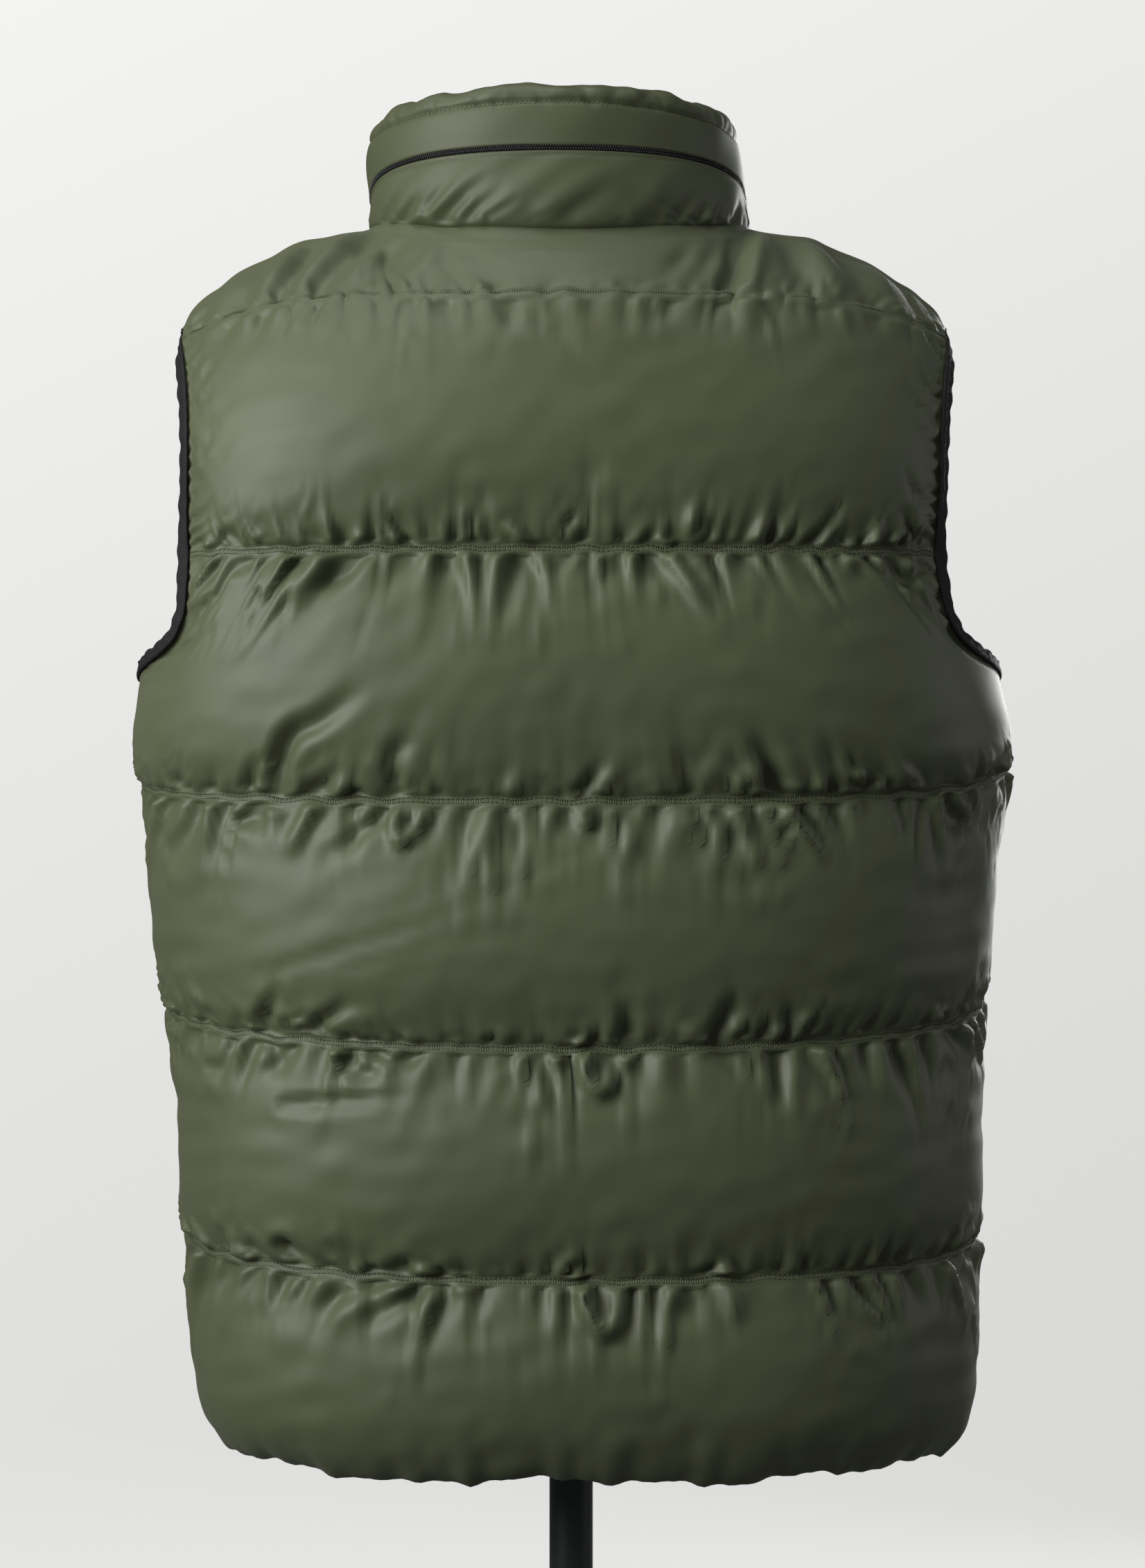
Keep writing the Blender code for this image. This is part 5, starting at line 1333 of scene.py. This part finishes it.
def evenPlaces(path, outs, pitch):
    # places a pitch apart on a path, with directions along and out
    run = runAlong(path)
    at = np.arange(pitch / 2, run[-1], pitch)
    ahead, behind = placesAt(at + pitch * 0.4, run, path), placesAt(at - pitch * 0.4, run, path)
    return placesAt(at, run, path), unit(ahead - behind), unit(placesAt(at, run, outs))


def joinPieces(name, pieces):
    # one mesh from several, with their materials
    builder = bmesh.new()
    materials = []
    for piece in pieces:
        mesh = piece.data
        start = len(builder.faces)
        builder.from_mesh(mesh)
        builder.faces.ensure_lookup_table()
        slots = []
        for material in mesh.materials:
            if material not in materials:
                materials.append(material)
            slots.append(materials.index(material))
        for face in builder.faces[start:]:
            face.material_index = slots[face.material_index]
    mesh = bpy.data.meshes.new(name)
    builder.to_mesh(mesh)
    builder.free()
    for material in materials:
        mesh.materials.append(material)
    for piece in pieces:
        bpy.data.objects.remove(piece)
    return addObject(name, mesh)


def collarOutwards(angle, z):
    # directions out of the collar at a height
    return collarPoint(angle, z, 0) - collarPoint(angle, z, 4 * mm)


def hoodZip():
    # narrow coil zip between the two parts of the collar
    angle = collarAngles[5:-5]
    middle = zipLine(angle)
    half = collar["zipHeight"] / 2 + 0.2 * mm
    profile = ((-half, 1.6 * mm), (0, 1.3 * mm), (half, 1.6 * mm), (half, 4.0 * mm), (-half, 4.0 * mm))
    sections = np.stack([collarPoint(angle, middle + z, inset) for z, inset in profile], 1)
    pieces = [closedSweep("hood_tape", sections, bindingTape)]
    line = collarPoint(angle, middle, 1.0 * mm)
    place, along, out = evenPlaces(line, collarOutwards(angle, middle), zips["hoodPitch"])
    across = np.cross(along, out)
    for side in (-1, 1):
        shifted = place + across * side * 0.7 * mm + along * side * 0.36 * mm
        pieces.append(placeCopies("hood_teeth", shifted, unit(across + 0.35 * side * along), out,
                                  zips["hoodTooth"], toothFinish))
    return joinPieces("hood_zip_coil", pieces)


def frontZip():
    path, normal = frontLine()
    tapes = {}
    for word, side in (("left", 1), ("right", -1)):
        profile = [(side * x, out) for x, out in zips["tape"]]
        tapes[word] = profileSweep("front_tape_" + word, path, normal, profile)
    pieces = [profileSweep("chain_core", path, normal, zips["core"])]
    place, along, out = evenPlaces(path, normal, zips["frontPitch"])
    across = np.tile([1.0, 0, 0], (len(place), 1))
    for side in (-1, 1):
        shifted = place + across * side * 0.9 * mm + along * side * 0.6 * mm + out * 0.6 * mm
        pieces.append(placeCopies("front_teeth", shifted, across, out, zips["frontTooth"], toothFinish))
    return tapes, joinPieces("front_chain", pieces), float(runAlong(path)[-1])


finishPiece(hoodZip(), "hood_zip")
frontTapes, frontChain, frontLength = frontZip()
finishPiece(frontChain, "zip_chain")
for word, tape in frontTapes.items():
    finishPiece(tape, "zip_tape_" + word)
print("zips ready")


# stitching
stitching = {
    "ribPitch": 1.35 * mm, "rib": {"Width": 0.95 * mm, "Rise": 0.55 * mm, "Thickness": 3.9 * mm},
    "yokeRise": 0.5 * mm, "jitter": 0.06,
    "stitchPitch": 2.7 * mm, "bandHalf": 1.25 * mm, "lift": 0.30 * mm,
    "stitch": {"Width": 2.1 * mm, "Rise": 0.36 * mm, "Thickness": 0.36 * mm, "Rounding": 0},
    "collarStitch": {"Width": 2.1 * mm, "Rise": 0.5 * mm, "Thickness": 0.5 * mm, "Rounding": 1},
    "collarLift": 0.15 * mm, "secondRow": 1.5 * mm,
}


def seamBands(name, panel):
    # fine ribs between the two rows of stitches of each quilting seam, and the stitches
    dice = np.random.default_rng(len(name))
    face = panel["face"]
    normal = gridNormals(face, panel["normal"])
    pieces = []
    for k in range(1, 6):
        yoke = k == 5
        row = nearestRow(panel["levels"], k)
        line = face[row] + 0 if yoke else (face[row - 1] + face[row - 2]) / 2
        line[1:-1] = (line[:-2] + 2 * line[1:-1] + line[2:]) / 4
        outs = normal[row if yoke else row - 2]
        ribs = dict(stitching["rib"], Rise=stitching["yokeRise"]) if yoke else stitching["rib"]
        place, along, out = evenPlaces(line, outs, stitching["ribPitch"])
        jitter = dice.normal(0, stitching["jitter"], len(place))[:, None]
        along = unit(along + np.cross(out, along) * jitter)
        pieces.append(placeCopies(name + "_ribs", place, along, out, ribs, cloth))
        for side in () if yoke else (-1, 1):
            place, along, out = evenPlaces(line, outs, stitching["stitchPitch"])
            place = place + np.cross(out, along) * side * stitching["bandHalf"] + out * stitching["lift"]
            pieces.append(placeCopies(name + "_stitches", place, along, out,
                                      stitching["stitch"], threadFinish))
    return joinPieces(name, pieces)


def collarStitches():
    # two rows of stitches round the band, and one round the stand
    band = bandStitch(collarAngles)[1]
    low = zipLine(collarAngles) - collar["zipHeight"] / 2 - collar["lip"] - collar["standStitch"] * mm
    outs = collarOutwards(collarAngles, band)
    pieces = []
    for sections, height, half in ((bandSections, band, math.pi * 1.2 / 1.62),
                                   (bandSections, band - stitching["secondRow"], 0.55),
                                   (standSections, low, math.pi)):
        path = []
        for section, z in zip(sections, height):
            outer = section[:int(len(section) * 0.62)]
            outer = outer[np.argsort(outer[:, 2])]
            path.append([np.interp(z, outer[:, 2], outer[:, 0]), np.interp(z, outer[:, 2], outer[:, 1]), z])
        kept = np.abs(collarAngles) < half
        place, along, out = evenPlaces(np.array(path)[kept], outs[kept], stitching["stitchPitch"])
        pieces.append(placeCopies("collar_stitches", place + out * stitching["collarLift"], along, out,
                                  stitching["collarStitch"], threadFinish))
    return joinPieces("collar_stitches", pieces)


for word, panel in panels.items():
    finishPiece(seamBands("quilting_" + word, panel), None)
finishPiece(collarStitches(), None)
print("stitching ready")


# dress form, stand and metal parts: rounded copies of the solids
rounding = {
    # finish, slot, body, width of the rounded edges, subdivisions
    "form_torso": (jersey, "form_jersey", body, 0, 2),
    "neck_cap": (wood, "cap_wood", body, 1.2 * mm, 0),
    "pole_flange": (standPaint, "stand_metal", body, 1.0 * mm, 0),
    "pole": (standPaint, "stand_metal", body, 0.8 * mm, 0),
    "base_plate": (standPaint, "stand_metal", body, 1.5 * mm, 0),
    "zip_slider": (metalFinish, "zip_metal", body, 0.22 * mm, 0),
    "zip_pull": (metalFinish, "zip_metal", "puller", 0.22 * mm, 0),
}
sharpAngle = math.radians(34)


def roundedCopy(node, material, slotName, carrier, bevelWidth, levels):
    builder = bmesh.new()
    builder.from_mesh(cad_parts[node].data)
    bmesh.ops.remove_doubles(builder, verts=builder.verts[:], dist=0.01 * mm)
    bmesh.ops.recalc_face_normals(builder, faces=builder.faces[:])
    bmesh.ops.join_triangles(builder, faces=builder.faces[:], angle_face_threshold=0.25,
                             angle_shape_threshold=0.6)
    crease = builder.edges.layers.float.new("crease_edge")
    for edge in builder.edges:
        sharp = edge.calc_face_angle(0) > sharpAngle
        edge.smooth = not sharp
        edge[crease] = 0.7 if sharp else 0.0
    for face in builder.faces:
        face.smooth = True
    mesh = bpy.data.meshes.new(node + "_rounded")
    builder.to_mesh(mesh)
    builder.free()
    mesh.materials.append(material)
    obj = addObject(node + "_rounded", mesh)
    if bevelWidth:
        bevel = obj.modifiers.new("rounded edges", "BEVEL")
        bevel.width = bevelWidth
        bevel.segments = 3
        bevel.limit_method = "ANGLE"
        bevel.angle_limit = sharpAngle
    if levels:
        finer = obj.modifiers.new("finer", "SUBSURF")
        finer.levels = finer.render_levels = levels
    finishPiece(obj, node, carrier)


for node, facts in rounding.items():
    roundedCopy(node, *facts)
print("form, stand and metal parts ready")


# studio
studio = {
    "radius": 7.0, "wall": 6.5, "fillet": 3.6,
    # name, watts, place, size
    "lights": (("key_light", 43.0, (1.46, 1.16, 1.50), 1.35), ("top_light", 23.0, (0.5, 0.6, 3.1), 1.6),
               ("fill_light", 8.0, (-2.5, 0.1, 1.2), 1.6), ("front_light", 40.0, (-1.2, -2.2, 1.3), 1.35)),
    "aim": (0, 0, 0.95), "ambient": 0.10, "air": (0.95, 1.0, 0.98),
    # painted light: the backdrop glows, and its glow stands in for the lamps' fall-off across it: base, gain
    # for each metre to the left and up
    "base": 0.69, "left": 0.028, "up": 0.057, "paper": 0.16, "tone": (1.0, 0.995, 0.98),
    "steps": 96, "below": 0.5 * mm,
    "eye": (-0.0008, 2.335, 0.91), "lens": 92.9,
}


def sweep():
    # pale floor that curves up into a round wall; it glows with painted light, brighter to the left and
    # higher up, casts no shadow and is not seen in the gilet's shading or reflections
    r, f, steps = studio["radius"], studio["fillet"], studio["steps"]
    profile = [(0.8, 0.0), (r - f - 0.4, 0.0), (r - f, 0.0)]
    profile += [(r - f + f * math.sin(a), f - f * math.cos(a)) for a in np.linspace(0, quarter, 25)[1:]]
    profile.append((r, studio["wall"]))
    turns = [2 * math.pi * k / steps for k in range(steps)]
    vertices = [(out * math.cos(a), out * math.sin(a), z - studio["below"])
                for out, z in profile for a in turns]
    faces = [(len(vertices), k, (k + 1) % steps) for k in range(steps)]
    vertices.append((0, 0, -studio["below"]))
    for i in range(len(profile) - 1):
        for k in range(steps):
            a, b = i * steps + k, i * steps + (k + 1) % steps
            faces.append((a, a + steps, b + steps, b))
    color = [studio["paper"] * tone for tone in studio["tone"]]
    finish = {"color": color, "roughness": 0.95, "specular": 0.05}
    material, tree, shader = newMaterial("glowing_backdrop_sweep", finish)
    # painted light: emission that grows brighter to the left and higher up, in place of the lamps' fall-off
    # across the backdrop
    place = addNode(tree, "ShaderNodeTexCoord")
    slope = {1: (studio["left"], 0, studio["up"])}
    weigh = addNode(tree, "ShaderNodeVectorMath", slope, operation="DOT_PRODUCT")
    lift = addNode(tree, "ShaderNodeMath", {1: studio["base"]}, operation="ADD")
    tint = addNode(tree, "ShaderNodeVectorMath", {0: studio["tone"]}, operation="SCALE")
    joinNodes(tree, (place, "Object", weigh, 0), (weigh, "Value", lift, 0), (lift, 0, tint, "Scale"),
              (tint, 0, shader, "Emission Color"))
    shader.inputs["Emission Strength"].default_value = 1.0
    obj = makeObject("glowing_backdrop_sweep", vertices, faces, (material,))
    obj.visible_shadow = False
    obj.visible_diffuse = False
    obj.visible_glossy = False


def softLight(name, power, place, size):
    data = bpy.data.lights.new(name, "AREA")
    data.energy = power
    data.shape = "DISK"
    data.size = size
    obj = addObject(name, data)
    obj.location = place
    obj.rotation_euler = (Vector(studio["aim"]) - Vector(place)).to_track_quat("-Z", "Y").to_euler()


def lightsAndCamera():
    sweep()
    for facts in studio["lights"]:
        softLight(*facts)
    scene = bpy.context.scene
    scene.world = bpy.data.worlds.new("studio_air")
    scene.world.use_nodes = True
    air = scene.world.node_tree.nodes["Background"]
    air.inputs["Color"].default_value = (*studio["air"], 1)
    air.inputs["Strength"].default_value = studio["ambient"]
    data = bpy.data.cameras.new("camera")
    data.sensor_fit = "VERTICAL"
    data.sensor_height = 36
    data.lens = studio["lens"]
    camera = addObject("camera", data)
    camera.location = studio["eye"]
    camera.rotation_euler = (quarter, 0, math.pi)
    scene.camera = camera
    scene.view_settings.view_transform = "Standard"


lightsAndCamera()
